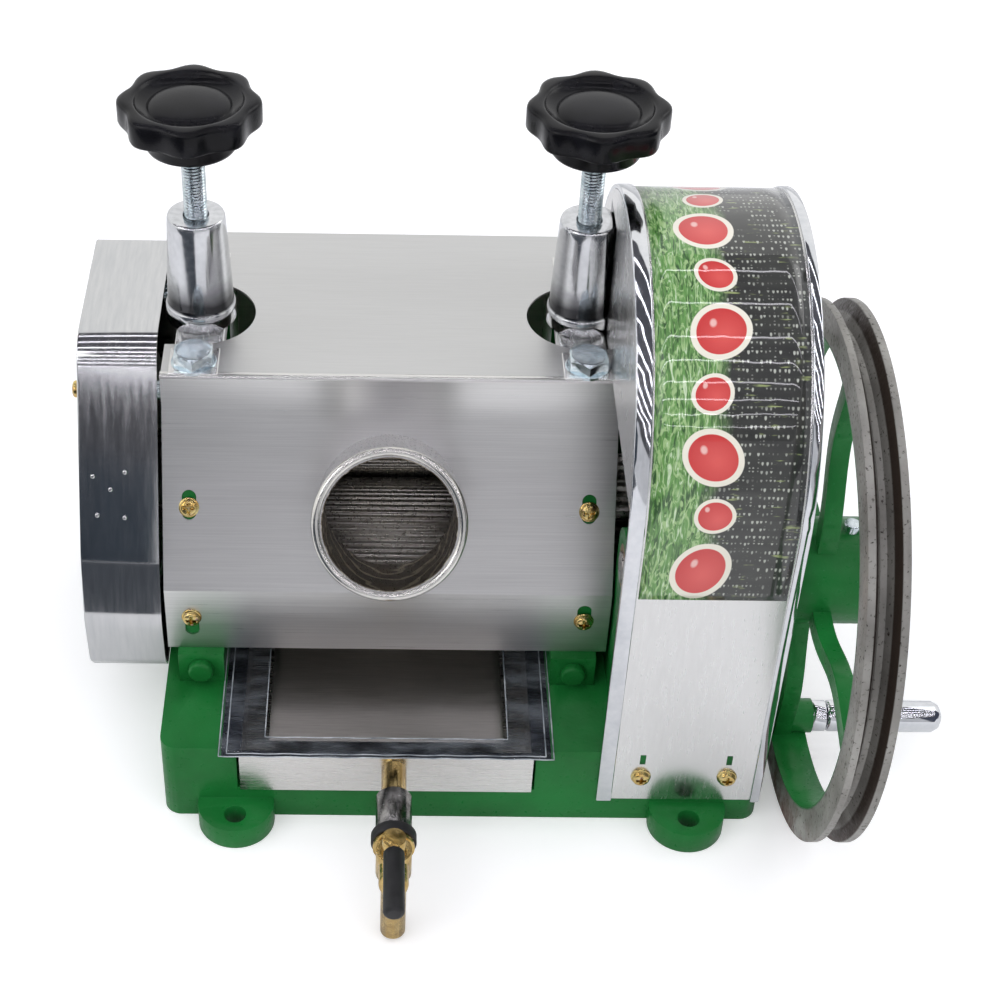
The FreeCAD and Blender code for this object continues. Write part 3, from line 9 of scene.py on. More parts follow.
import bmesh
import bpy
from mathutils import Matrix, Vector


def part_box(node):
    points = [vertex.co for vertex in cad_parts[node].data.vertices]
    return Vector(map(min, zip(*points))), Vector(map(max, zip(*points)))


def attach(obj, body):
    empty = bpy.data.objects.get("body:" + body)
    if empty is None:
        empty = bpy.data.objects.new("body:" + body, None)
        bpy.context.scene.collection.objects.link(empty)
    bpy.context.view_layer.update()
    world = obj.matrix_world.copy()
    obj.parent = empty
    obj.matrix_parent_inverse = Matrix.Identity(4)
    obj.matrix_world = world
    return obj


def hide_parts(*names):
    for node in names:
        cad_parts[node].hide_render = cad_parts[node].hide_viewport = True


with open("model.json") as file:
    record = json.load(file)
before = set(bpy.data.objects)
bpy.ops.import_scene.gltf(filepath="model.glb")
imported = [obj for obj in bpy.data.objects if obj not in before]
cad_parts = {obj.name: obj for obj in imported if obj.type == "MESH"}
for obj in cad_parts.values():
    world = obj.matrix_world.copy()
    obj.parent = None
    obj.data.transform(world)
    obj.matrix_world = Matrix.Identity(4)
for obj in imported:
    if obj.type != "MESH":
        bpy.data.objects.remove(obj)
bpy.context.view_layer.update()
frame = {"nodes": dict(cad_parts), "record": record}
nodes = frame["nodes"]
record = frame["record"]
node_slot = {part["node"]: part["material_slot"] for part in record["subparts"]}
node_body = {name: body for body, names in record["behaviour"]["bodies"].items() for name in names}

MM = 0.001
# Axes of the flywheel and of the two pressure screws, and the middle of the flywheel's rim
WHEEL_Y, WHEEL_Z = -0.0763, 0.140
RIM_X = 0.1775
SCREW_X = {"left": -0.1382, "right": 0.0582}
SCREW_Y = 0.036
# Outward direction of the panel's slope and of the feed tube, and a point on the tube's axis
FACET = (0, -0.8755, 0.4833)
TUBE_X = (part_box("feed_tube")[0].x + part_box("feed_tube")[1].x) / 2
TUBE_AXIS = (-0.0436, 0.1510)
# Right-hand guard: arch of the bent sheet and the flat front below it
GUARD_Y, GUARD_Z, GUARD_RADIUS = -0.013, 0.195, 0.1082


# Finishes

class Paint:
    """A node material: its surface shader, and short ways to add texture nodes."""

    def __init__(self, name, sockets):
        self.material = bpy.data.materials.new(name)
        self.material.use_nodes = True
        self.tree = self.material.node_tree
        self.surface = self.tree.nodes["Principled BSDF"]
        for key, value in sockets.items():
            self.surface.inputs[key].default_value = value
        self.place = self.add("TexCoord").outputs["Object"]

    def add(self, kind, inputs=None, **settings):
        made = self.tree.nodes.new("ShaderNode" + kind)
        for key, value in settings.items():
            setattr(made, key, value)
        for key, value in (inputs or {}).items():
            if isinstance(value, bpy.types.NodeSocket):
                self.tree.links.new(value, made.inputs[key])
            else:
                made.inputs[key].default_value = value
        return made

    def link(self, output, socket):
        self.tree.links.new(output, self.surface.inputs[socket])

    def stretch(self, scale):
        """Object coordinates, scaled along each axis."""
        return self.add("Mapping", {"Vector": self.place, "Scale": scale}).outputs[0]

    def noise(self, scale, detail=3.0, stretch=(1, 1, 1), rough=0.55):
        return self.add("TexNoise", {"Vector": self.stretch(stretch), "Scale": scale, "Detail": detail,
                                     "Roughness": rough}).outputs[0]

    def maths(self, operation, first, second=0.0):
        return self.add("Math", {0: first, 1: second}, operation=operation).outputs[0]

    def span(self, value, low, high, to_low=0.0, to_high=1.0):
        return self.add("MapRange", {"Value": value, "From Min": low, "From Max": high, "To Min": to_low,
                                     "To Max": to_high}).outputs[0]

    def mix(self, factor, first, second):
        return self.add("Mix", {0: factor, 6: rgba(first), 7: rgba(second)}, data_type="RGBA").outputs[2]

    def shade(self, value, low, high, dark, light):
        """Colour that runs from dark to light as a value runs from low to high."""
        return self.mix(self.span(value, low, high), dark, light)

    def bump(self, height, strength, distance):
        made = self.add("Bump", {"Height": height, "Strength": strength, "Distance": distance})
        self.link(made.outputs[0], "Normal")


def rgba(colour):
    return (*colour, 1.0) if isinstance(colour, tuple) and len(colour) == 3 else colour


def green_enamel(name="green_enamel"):
    """Sprayed enamel on a casting: a fine orange peel, darker where it is thin."""
    paint = Paint(name, {"Coat Weight": 0.05, "Coat Roughness": 0.2, "Specular IOR Level": 0.2})
    broad = paint.noise(22, 3)
    peel = paint.noise(330, 4)
    specks = paint.noise(1100, 2)
    colour = paint.shade(broad, 0.32, 0.7, (0.0080, 0.120, 0.022), (0.0130, 0.190, 0.038))
    colour = paint.mix(paint.span(specks, 0.68, 0.78), colour, (0.05, 0.25, 0.10))
    paint.link(colour, "Base Color")
    paint.link(paint.span(peel, 0.25, 0.75, 0.24, 0.42), "Roughness")
    paint.bump(paint.maths("ADD", peel, paint.maths("MULTIPLY", broad, 2.0)), 0.35, 0.0005)
    return paint


def flywheel_finish():
    """Green spokes and hub, and a bare turned rim with pits and rust, and painted shade in its groove."""
    paint = green_enamel("flywheel_finish")
    enamel = paint.surface.inputs["Base Color"].links[0].from_socket
    gloss = paint.surface.inputs["Roughness"].links[0].from_socket
    parts = paint.add("SeparateXYZ", {0: paint.place})
    across = paint.maths("SUBTRACT", parts.outputs[1], WHEEL_Y)
    up = paint.maths("SUBTRACT", parts.outputs[2], WHEEL_Z)
    radius = paint.maths("SQRT", paint.maths("ADD", paint.maths("MULTIPLY", across, across),
                                             paint.maths("MULTIPLY", up, up)))
    edge = paint.maths("ADD", radius, paint.maths("MULTIPLY", paint.noise(160, 2), 0.0008))
    bare = paint.span(edge, 0.1200, 0.1204)
    broad = paint.noise(30, 4)
    pits = paint.noise(520, 3)
    metal = paint.shade(broad, 0.3, 0.7, (0.220, 0.212, 0.195), (0.400, 0.392, 0.365))
    metal = paint.mix(paint.span(pits, 0.60, 0.72), metal, (0.030, 0.022, 0.018))
    # Painted shade: a dark brown band where the groove of the rim lies in shadow
    aside = paint.maths("ABSOLUTE", paint.maths("SUBTRACT", parts.outputs[0], RIM_X))
    groove = paint.maths("MULTIPLY", paint.span(aside, 0.0062, 0.0058), paint.span(radius, 0.1356, 0.1350))
    groove = paint.maths("MULTIPLY", groove, paint.span(radius, 0.1290, 0.1300, 0.15, 1.0))
    metal = paint.mix(groove, metal, (0.044, 0.032, 0.025))
    low = paint.span(up, -0.06, -0.13)
    rust = paint.maths("MULTIPLY", paint.span(paint.noise(75, 4), 0.40, 0.62), low)
    metal = paint.mix(rust, metal, (0.095, 0.030, 0.013))
    paint.link(paint.mix(bare, enamel, metal), "Base Color")
    paint.link(paint.maths("MULTIPLY", bare, 0.55), "Metallic")
    paint.link(paint.add("Mix", {0: bare, 2: gloss, 3: paint.span(pits, 0.3, 0.7, 0.34, 0.58)},
                         data_type="FLOAT").outputs[0], "Roughness")
    return paint


def metal(name, dark, light, rough, broad=18, grain=(1, 1, 1), scale=700, depth=0.25, distance=0.0002,
          more=None):
    """Bare or plated metal: cloudy tone, and a grain that is stretched along one axis when brushed."""
    paint = Paint(name, {"Metallic": 1.0, **(more or {})})
    cloud = paint.noise(broad, 3, tuple(max(g, 0.2) for g in grain))
    lines = paint.noise(scale, 3, grain)
    tone = paint.maths("ADD", paint.maths("MULTIPLY", cloud, 0.6), paint.maths("MULTIPLY", lines, 0.4))
    paint.link(paint.shade(tone, 0.36, 0.64, dark, light), "Base Color")
    paint.link(paint.span(lines, 0.25, 0.75, *rough), "Roughness")
    paint.bump(lines, depth, distance)
    return paint


def gold_zinc():
    """Yellow passivated zinc, with its faint green and violet tints."""
    paint = Paint("gold_zinc", {"Metallic": 1.0})
    tint = paint.noise(260, 3)
    colour = paint.shade(tint, 0.35, 0.65, (0.62, 0.40, 0.12), (0.78, 0.66, 0.30))
    colour = paint.mix(paint.span(paint.noise(420, 2), 0.6, 0.75), colour, (0.55, 0.36, 0.33))
    paint.link(colour, "Base Color")
    paint.link(paint.span(tint, 0.3, 0.7, 0.16, 0.3), "Roughness")
    paint.bump(tint, 0.2, 0.0001)
    return paint


def black_plastic():
    """Moulded thermoset: near black, satin, with rubbed highlights."""
    paint = Paint("black_plastic", {"Specular IOR Level": 0.2})
    grain = paint.noise(900, 3)
    rubs = paint.noise(55, 5)
    colour = paint.shade(rubs, 0.45, 0.75, (0.0035, 0.0035, 0.0045), (0.009, 0.009, 0.012))
    paint.link(colour, "Base Color")
    paint.link(paint.span(rubs, 0.3, 0.7, 0.14, 0.26), "Roughness")
    paint.bump(paint.maths("ADD", grain, rubs), 0.10, 0.0003)
    return paint


def black_rubber():
    """Dull rubber, with a dusty bloom."""
    paint = Paint("black_rubber", {})
    bloom = paint.noise(140, 4)
    paint.link(paint.shade(bloom, 0.35, 0.7, (0.006, 0.006, 0.007), (0.022, 0.022, 0.024)), "Base Color")
    paint.link(paint.span(bloom, 0.3, 0.7, 0.42, 0.6), "Roughness")
    paint.bump(paint.noise(700, 2), 0.2, 0.0003)
    return paint


def clear_film():
    """Thin wrinkled film: mostly clear, with a glossy face."""
    paint = Paint("clear_film", {"Specular IOR Level": 0.8})
    wrinkle = paint.noise(38, 4, (1, 2.2, 1))
    paint.link(paint.shade(wrinkle, 0.3, 0.7, (0.06, 0.07, 0.09), (0.30, 0.33, 0.37)), "Base Color")
    paint.link(paint.span(wrinkle, 0.45, 0.75, 0.06, 0.30), "Alpha")
    paint.link(paint.span(wrinkle, 0.3, 0.7, 0.04, 0.12), "Roughness")
    paint.bump(wrinkle, 0.8, 0.004)
    return paint


def film_edge():
    """Cut edge of the film, painted pale as a highlight where it catches the light."""
    paint = Paint("film_edge", {"Specular IOR Level": 0.8})
    along = paint.noise(90, 3)
    paint.link(paint.shade(along, 0.35, 0.65, (0.20, 0.23, 0.26), (0.62, 0.66, 0.70)), "Base Color")
    paint.link(paint.span(along, 0.3, 0.7, 0.1, 0.3), "Roughness")
    return paint


def tap_finish():
    """Yellow brass, with a dull plated sleeve behind the gasket."""
    paint = metal("tap_finish", (0.42, 0.27, 0.075), (0.80, 0.60, 0.26), (0.14, 0.32), broad=90, scale=300,
                  depth=0.35, distance=0.0004)
    brass = paint.surface.inputs["Base Color"].links[0].from_socket
    back = paint.add("SeparateXYZ", {0: paint.place}).outputs[1]
    sleeve = paint.maths("MULTIPLY", paint.span(back, -0.1664, -0.1660), paint.span(back, -0.1390, -0.1396))
    plate = paint.shade(paint.noise(120, 3), 0.35, 0.65, (0.16, 0.155, 0.15), (0.42, 0.41, 0.40))
    paint.link(paint.mix(sleeve, brass, plate), "Base Color")
    return paint


def tube_finish():
    """Brushed steel outside, and a bore painted in dark browns as shade, with painted reflections of the room in
    wavy lines.
    """
    paint = metal("tube_finish", (0.55, 0.545, 0.54), (0.68, 0.675, 0.665), (0.24, 0.34), broad=16,
                  grain=(1, 0.2, 0.2), scale=1300, depth=0.12)
    bright = paint.surface.inputs["Base Color"].links[0].from_socket
    parts = paint.add("SeparateXYZ", {0: paint.place})
    aside = paint.maths("SUBTRACT", parts.outputs[0], TUBE_X)
    back = paint.maths("MULTIPLY", paint.maths("SUBTRACT", parts.outputs[1], TUBE_AXIS[0]), -FACET[2])
    up = paint.maths("MULTIPLY", paint.maths("SUBTRACT", parts.outputs[2], TUBE_AXIS[1]), FACET[1])
    rise = paint.maths("ADD", back, up)
    radius = paint.maths("SQRT", paint.maths("ADD", paint.maths("MULTIPLY", aside, aside),
                                             paint.maths("MULTIPLY", rise, rise)))
    # Painted reflections: pale wavy lines where the bore mirrors the room
    rings = paint.add("TexWave", {"Vector": paint.stretch((1, 1, 1)), "Scale": 34.0, "Distortion": 9.0,
                                  "Detail": 2.0, "Detail Scale": 1.2}, bands_direction="Z").outputs["Fac"]
    # Painted shade and reflection in the bore, dark to mid brown
    bore_shade_and_reflection = paint.shade(paint.noise(34, 3), 0.35, 0.65, (0.040, 0.030, 0.018), (0.20, 0.155, 0.095))
    bore_shade_and_reflection = paint.mix(paint.span(rings, 0.80, 0.97), bore_shade_and_reflection, (0.60, 0.54, 0.43))
    paint.link(paint.mix(paint.span(radius, 0.0336, 0.0332), bright, bore_shade_and_reflection), "Base Color")
    return paint


def cone_finish():
    """Bright plate that is much darker towards the foot of the cone."""
    paint = metal("cone_finish", (0.58, 0.59, 0.61), (0.74, 0.75, 0.77), (0.10, 0.20), broad=40, scale=320,
                  depth=0.08)
    bright = paint.surface.inputs["Base Color"].links[0].from_socket
    height = paint.add("SeparateXYZ", {0: paint.place}).outputs[2]
    edge = paint.maths("ADD", height, paint.maths("MULTIPLY", paint.noise(90, 3), 0.006))
    low = paint.maths("MULTIPLY", paint.span(edge, 0.243, 0.230), paint.span(height, 0.2215, 0.2225))
    paint.link(paint.mix(paint.maths("MULTIPLY", low, 0.93), bright, (0.03, 0.03, 0.033)), "Base Color")
    return paint


def tray_finish():
    """Bright stainless, with a dark glossy rim under its clear film; the same dark colour stands on the inner
    walls above the lip line as painted shade.
    """
    paint = metal("tray_finish", (0.72, 0.70, 0.68), (0.88, 0.87, 0.85), (0.20, 0.36), broad=14,
                  grain=(0.05, 1, 1), scale=1100, depth=0.15)
    bright = paint.surface.inputs["Base Color"].links[0].from_socket
    height = paint.add("SeparateXYZ", {0: paint.place}).outputs[2]
    # Dark above the lip line: the film-covered rim, and painted shade on the inner walls
    rim = paint.span(height, 0.0475, 0.0485)
    dark = paint.shade(paint.noise(70, 4, (0.3, 1, 1)), 0.35, 0.65, (0.014, 0.017, 0.022), (0.040, 0.046, 0.060))
    paint.link(paint.mix(rim, bright, dark), "Base Color")
    return paint


def picture_label():
    """Glossy print of no one's design: leaves beside a speckled dark field, and a string of beads."""
    paint = Paint("picture_label", {"Coat Weight": 1.0, "Coat Roughness": 0.03, "Roughness": 0.4})
    flat = paint.add("TexCoord").outputs["UV"]
    parts = paint.add("SeparateXYZ", {0: flat})
    across, along = parts.outputs[0], parts.outputs[1]

    def flecks(turn, scale, kind="TexNoise", out=0, **more):
        where = paint.add("Mapping", {"Vector": flat, "Rotation": (0, 0, turn), "Scale": (*scale, 1)})
        return paint.add(kind, {"Vector": where.outputs[0], "Scale": 1.0, **more}).outputs[out]

    blades = flecks(0.45, (30, 16), Detail=5.0, Distortion=1.8)
    cross = flecks(-0.5, (22, 26), Detail=5.0, Distortion=2.4)
    leaves = paint.shade(blades, 0.36, 0.52, (0.026, 0.092, 0.020), (0.125, 0.310, 0.070))
    leaves = paint.mix(paint.span(cross, 0.50, 0.60), leaves, (0.34, 0.52, 0.22))
    leaves = paint.mix(paint.span(blades, 0.58, 0.66), leaves, (0.58, 0.72, 0.48))
    # Short strokes and dots that stand in rows
    row = paint.maths("ABSOLUTE", paint.maths("SUBTRACT", paint.maths("FRACT", paint.maths(
        "MULTIPLY", along, 62.0)), 0.5))
    dots = flecks(0, (34, 62), "TexVoronoi", "Distance", Randomness=0.35)
    patch = flecks(0, (4, 14), Detail=3.0)
    speck = paint.maths("MULTIPLY", paint.span(dots, 0.34, 0.20), paint.span(patch, 0.36, 0.50))
    speck = paint.maths("MULTIPLY", speck, paint.span(row, 0.42, 0.30))
    field = paint.shade(flecks(0, (3, 40), Detail=3.0), 0.35, 0.7, (0.018, 0.019, 0.017), (0.036, 0.038, 0.033))
    field = paint.mix(speck, field, (0.48, 0.50, 0.44))
    stalks = paint.maths("MULTIPLY", paint.span(flecks(0.12, (5, 120), Detail=3.0), 0.60, 0.66),
                         paint.span(flecks(0, (7, 9), Detail=2.0), 0.48, 0.6))
    field = paint.mix(stalks, field, (0.30, 0.36, 0.14))
    border = paint.maths("ADD", across, paint.maths("MULTIPLY", flecks(0, (2, 7), Detail=4.0), 0.35))
    ground = paint.mix(paint.span(border, 0.53, 0.66), leaves, field)
    # Outlined beads, large and small in turn, down a wavy line left of the middle
    slot = paint.maths("MULTIPLY", along, 9.0)
    cell = paint.maths("SUBTRACT", paint.maths("FRACT", slot), 0.5)
    odd = paint.maths("GREATER_THAN", paint.maths("FRACT", paint.maths("MULTIPLY", slot, 0.5)), 0.5)
    sway = paint.maths("MULTIPLY", paint.maths("SINE", paint.maths("MULTIPLY", along, 17.0)), 0.035)
    side = paint.maths("MULTIPLY", paint.maths("SUBTRACT", across, paint.maths("ADD", sway, 0.40)), 2.35)
    size = paint.span(odd, 0.0, 1.0, 1.0, 1.45)

    def bead(shift, depth):
        x = paint.maths("MULTIPLY", paint.maths("SUBTRACT", side, shift), depth)
        y = paint.maths("SUBTRACT", cell, shift)
        return paint.maths("MULTIPLY", size, paint.maths("SQRT", paint.maths(
            "ADD", paint.maths("MULTIPLY", x, x), paint.maths("MULTIPLY", y, y))))

    ground = paint.mix(paint.span(bead(0.0, 1.0), 0.475, 0.465), ground, (0.86, 0.82, 0.70))
    red = paint.shade(bead(0.06, 1.0), 0.05, 0.42, (0.74, 0.085, 0.075), (0.60, 0.030, 0.030))
    ground = paint.mix(paint.span(bead(0.0, 1.0), 0.385, 0.375), ground, red)
    ground = paint.mix(paint.span(bead(-0.13, 1.3), 0.085, 0.045), ground, (0.86, 0.50, 0.46))
    paint.link(ground, "Base Color")
    ripple = paint.noise(48, 2, (1, 0.6, 0.6))
    made = paint.add("Bump", {"Height": ripple, "Strength": 0.4, "Distance": 0.0005})
    paint.link(made.outputs[0], "Coat Normal")
    return paint


FINISHES = {
    "green_enamel": green_enamel(),
    "steel_sheet": metal("steel_sheet", (0.62, 0.615, 0.61), (0.76, 0.755, 0.745), (0.27, 0.36),
                         broad=16, grain=(0.012, 1, 1), scale=1500, depth=0.14),
    "satin_sheet": metal("satin_sheet", (0.60, 0.60, 0.595), (0.68, 0.68, 0.675), (0.34, 0.44),
                         broad=9, grain=(0.03, 1, 1), scale=1500, depth=0.1),
    "bright_sheet": metal("bright_sheet", (0.72, 0.715, 0.705), (0.82, 0.82, 0.81), (0.20, 0.30),
                          broad=9, grain=(1, 0.12, 0.12), scale=600, depth=0.06),
    "polished_sheet": metal("polished_sheet", (0.55, 0.56, 0.57), (0.68, 0.68, 0.68), (0.08, 0.15),
                            broad=8, grain=(1, 0.1, 0.1), scale=420, depth=0.05),
    "machined_steel": metal("machined_steel", (0.38, 0.36, 0.33), (0.62, 0.60, 0.56), (0.22, 0.38),
                            scale=500),
    "raw_iron": metal("raw_iron", (0.07, 0.064, 0.058), (0.20, 0.185, 0.17), (0.35, 0.6), scale=360,
                      depth=0.5, distance=0.0004),
    "zinc_bolt": metal("zinc_bolt", (0.40, 0.48, 0.52), (0.70, 0.76, 0.79), (0.12, 0.28), broad=120,
                       scale=420),
    "gold_zinc": gold_zinc(),
    "chrome": metal("chrome", (0.66, 0.68, 0.71), (0.80, 0.81, 0.83), (0.04, 0.12), broad=40, scale=260,
                    depth=0.04),
    "bronze": metal("bronze", (0.36, 0.20, 0.07), (0.58, 0.38, 0.16), (0.24, 0.4), scale=300),
    "yellow_brass": metal("yellow_brass", (0.42, 0.27, 0.075), (0.80, 0.60, 0.26), (0.14, 0.32),
                          broad=90, scale=300, depth=0.35, distance=0.0004),
    "black_plastic": black_plastic(),
    "black_rubber": black_rubber(),
    "tray_steel": metal("tray_steel", (0.52, 0.50, 0.48), (0.78, 0.77, 0.75), (0.20, 0.42), broad=14,
                        grain=(0.05, 1, 1), scale=1100, depth=0.2),
    "strainer_steel": metal("strainer_steel", (0.38, 0.36, 0.335), (0.52, 0.50, 0.47), (0.30, 0.44),
                            broad=14, grain=(0.04, 1, 1), scale=1300, depth=0.3),
    "tray_finish": tray_finish(),
    "film_edge": film_edge(),
    "tap_finish": tap_finish(),
    "cone_finish": cone_finish(),
    "tube_finish": tube_finish(),
    # Paler than the panel's steel: a painted highlight along the panel's rounded fold
    "fold_steel": metal("fold_steel", (0.74, 0.73, 0.71), (0.86, 0.85, 0.84), (0.24, 0.32), broad=20,
                        grain=(0.02, 1, 1), scale=500, depth=0.005),
    "rolled_rim": metal("rolled_rim", (0.66, 0.65, 0.62), (0.82, 0.80, 0.76), (0.12, 0.22), broad=60,
                        scale=500, depth=0.1),
    "flywheel_finish": flywheel_finish(),
    "clear_film": clear_film(),
    "picture_label": picture_label(),
}
# Nodes whose finish in the photograph differs from the rest of their slot
OWN_FINISH = {"flywheel": "flywheel_finish", "juice_tray": "tray_finish", "tap_body": "tap_finish",
              "tap_lever": "yellow_brass", "frame_bolts": "green_enamel", "bridge_plates": "bright_sheet",
              "crank_stud": "chrome", "feed_tube": "tube_finish",
              "guard_front_sheet": "bright_sheet", "guard_side_plates": "bright_sheet"}
# Slots of thin sheet, whose folds stay crisp
SHEETS = ("steel_sheet", "satin_sheet", "polished_sheet", "tray_steel")
# Rounded edge of each slot, in millimetres
EDGE = {"green_enamel": 1.6, "chrome": 0.7, "machined_steel": 0.4, "raw_iron": 0.4, "zinc_bolt": 0.4,
        "gold_zinc": 0.3, "bronze": 0.3, "yellow_brass": 0.7, "black_plastic": 1.0, "black_rubber": 0.5}


def dress(name):
    """Finish, rounded edges and smooth shading on a node of the CAD model."""
    thing = nodes[name]
    slot = node_slot[name]
    thing.data.materials.clear()
    thing.data.materials.append(FINISHES[OWN_FINISH.get(name, slot)].material)
    for polygon in thing.data.polygons:
        polygon.use_smooth = True
    weld = thing.modifiers.new("weld", "WELD")
    weld.merge_threshold = 1e-5
    if slot in SHEETS:
        crisp(thing)
        return
    flat = thing.modifiers.new("flat", "DECIMATE")
    flat.decimate_type = "DISSOLVE"
    flat.angle_limit = math.radians(0.4)
    soften(thing, EDGE[slot] * MM)


def crisp(thing, angle=28):
    """Smooth faces that meet sharply at their folds."""
    split = thing.modifiers.new("folds", "EDGE_SPLIT")
    split.split_angle = math.radians(angle)


def soften(thing, width, angle=35):
    """Rounded edges, with flat faces kept flat."""
    bevel = thing.modifiers.new("edges", "BEVEL")
    bevel.width = width
    bevel.segments = 2
    bevel.limit_method = "ANGLE"
    bevel.angle_limit = math.radians(angle)
    bevel.harden_normals = True


for node_name in nodes:
    dress(node_name)


# Detailed pieces

class Form:
    """Points and faces of one piece, gathered from several shapes."""

    def __init__(self):
        self.points = []
        self.faces = []
        self.flat = []

    def add(self, points, faces, stand=Matrix(), flat=None):
        start = len(self.points)
        self.points += [stand @ Vector(p) for p in points]
        self.faces += [[start + corner for corner in face] for face in faces]
        self.flat += flat or [(0.0, 0.0)] * len(points)

    def grid(self, rows, stand=Matrix(), wrap=True, flat=None):
        """Faces between rows of equally many points; a row may close on itself."""
        count = len(rows[0])
        faces = []
        for row in range(len(rows) - 1):
            for step in range(count if wrap else count - 1):
                after = (step + 1) % count
                low, high = row * count, (row + 1) * count
                faces.append([low + step, low + after, high + after, high + step])
        self.add([p for row in rows for p in row], faces, stand, flat)

    def turn(self, profile, stand=Matrix(), steps=56, bend=lambda radius, angle, row: radius):
        """Turned shape from (radius, height) pairs, in mm, closed by a fan where a radius is zero."""
        rows = []
        for row, (radius, height) in enumerate(profile):
            rows.append([])
            for step in range(steps):
                angle = math.tau * step / steps
                far = bend(radius, angle, row) * MM
                rows[-1].append((far * math.cos(angle), far * math.sin(angle), height * MM))
        self.grid(rows, stand)

    def make(self, name, finish, body, replaced=(), folds=None):
        mesh = bpy.data.meshes.new(name)
        mesh.from_pydata(self.points, [], self.faces)
        layer = mesh.uv_layers.new(name="UVMap")
        for loop in mesh.loops:
            layer.data[loop.index].uv = self.flat[loop.vertex_index]
        for polygon in mesh.polygons:
            polygon.use_smooth = True
        mesh.materials.append(FINISHES[finish].material)
        piece = bpy.data.objects.new(name, mesh)
        bpy.context.collection.objects.link(piece)
        weld = piece.modifiers.new("weld", "WELD")
        weld.merge_threshold = 1e-6
        if folds:
            crisp(piece, folds)
        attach(piece, body)
        if replaced:
            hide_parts(*replaced)
        return piece


def stand(origin, axis=(0, 0, 1)):
    """Place of a shape that is drawn along Z, moved to an origin in metres and turned to an axis."""
    return Matrix.Translation(Vector(origin)) @ Vector(axis).to_track_quat("Z", "Y").to_matrix().to_4x4()


def knob(side):
    """Lobed hand knob with a ring-shaped hollow in its top."""
    # Radius, height and how far the lobes show, in mm
    profile = [(6.1, 311.5, 0), (20.5, 311.5, 0), (22, 312.1, 0), (22.5, 313.6, 0), (22.5, 321.6, 0),
               (23.6, 322.8, 0.1), (29, 323.0, 0.6), (33.4, 323.2, 1), (34.5, 323.8, 1),
               (35, 325.0, 1), (35, 334.2, 1), (34.6, 335.7, 1), (33.6, 336.6, 1), (32.0, 337, 0.8),
               (28.5, 337, 0.2), (27.2, 336.9, 0), (26.5, 336.4, 0), (26.1, 335.6, 0), (25.4, 334.9, 0),
               (22.6, 333.6, 0), (21.2, 333.0, 0), (20.7, 332.9, 0), (20.3, 333.4, 0), (19.2, 334.2, 0),
               (17, 335.0, 0), (13, 335.8, 0), (8, 336.3, 0), (4, 336.5, 0), (0, 336.55, 0)]
    shape = Form()
    shape.turn([(radius, height) for radius, height, _ in profile],
               stand((SCREW_X[side], SCREW_Y, 0)), 96,
               lambda radius, angle, row: radius - 1.6 * profile[row][2] * (1 - math.cos(8 * angle)))
    shape.make("hand_knob_" + side, "black_plastic", "pressure_screw_" + side, ["knob_" + side])


def threaded_screw(side):
    """M12 screw with its thread cut in."""
    pitch, depth, steps, rows_per_turn = 1.75, 0.95, 40, 8
    low, high = 250.0, 334.0
    count = int((high - low) / pitch * rows_per_turn)
    rows = [[(0, 0, low * MM)] * steps]
    for row in range(count + 1):
        height = low + (high - low) * row / count
        ring = []
        for step in range(steps):
            turn = step / steps
            phase = (height / pitch - turn) % 1
            fade = min(1.0, (height - low) / 2.5)
            radius = 6 - depth * abs(2 * phase - 1) * fade - 1.2 * (1 - fade)
            ring.append((radius * MM * math.cos(math.tau * turn), radius * MM * math.sin(math.tau * turn),
                         height * MM))
        rows.append(ring)
    rows.append([(0, 0, high * MM)] * steps)
    shape = Form()
    shape.grid(rows, stand((SCREW_X[side], SCREW_Y, 0)))
    shape.make("threaded_screw_" + side, "zinc_bolt", "pressure_screw_" + side,
               ["pressure_screw_" + side])


def spring_cones():
    """Chromed spring housings: a cone that flares into its ring flange."""
    profile = [(10.5, 211.8), (17.4, 211.8), (18, 212.4), (18, 220.6), (17.6, 221.5), (17.0, 222.2),
               (16.95, 224), (16.6, 233), (15.7, 252), (14.9, 268), (14.6, 271.4), (14.2, 272.4),
               (13.5, 272.7), (7.0, 272.7), (6.5, 272.4), (6.35, 271.6), (6.35, 262), (10.5, 262),
               (10.5, 211.8)]
    shape = Form()
    for side in ("left", "right"):
        shape.turn(profile, stand((SCREW_X[side], SCREW_Y, 0)), 72)
    shape.make("spring_cones", "cone_finish", "frame", ["spring_housings"], 50)


def rounded_path(corners, radii, steps=9):
    """Closed or open 2-D path with its corners rounded."""
    path = [corners[0]]
    for before, corner, after, radius in zip(corners, corners[1:], corners[2:], radii):
        corner = Vector(corner)
        back = (Vector(before) - corner).normalized()
        ahead = (Vector(after) - corner).normalized()
        half = back.angle(ahead) / 2
        reach = radius / math.tan(half)
        first = corner + back * reach
        last = corner + ahead * reach
        for step in range(steps + 1):
            share = step / steps
            one = first.lerp(corner, share)
            two = corner.lerp(last, share)
            path.append(tuple(one.lerp(two, share)))
    path.append(corners[-1])
    return path


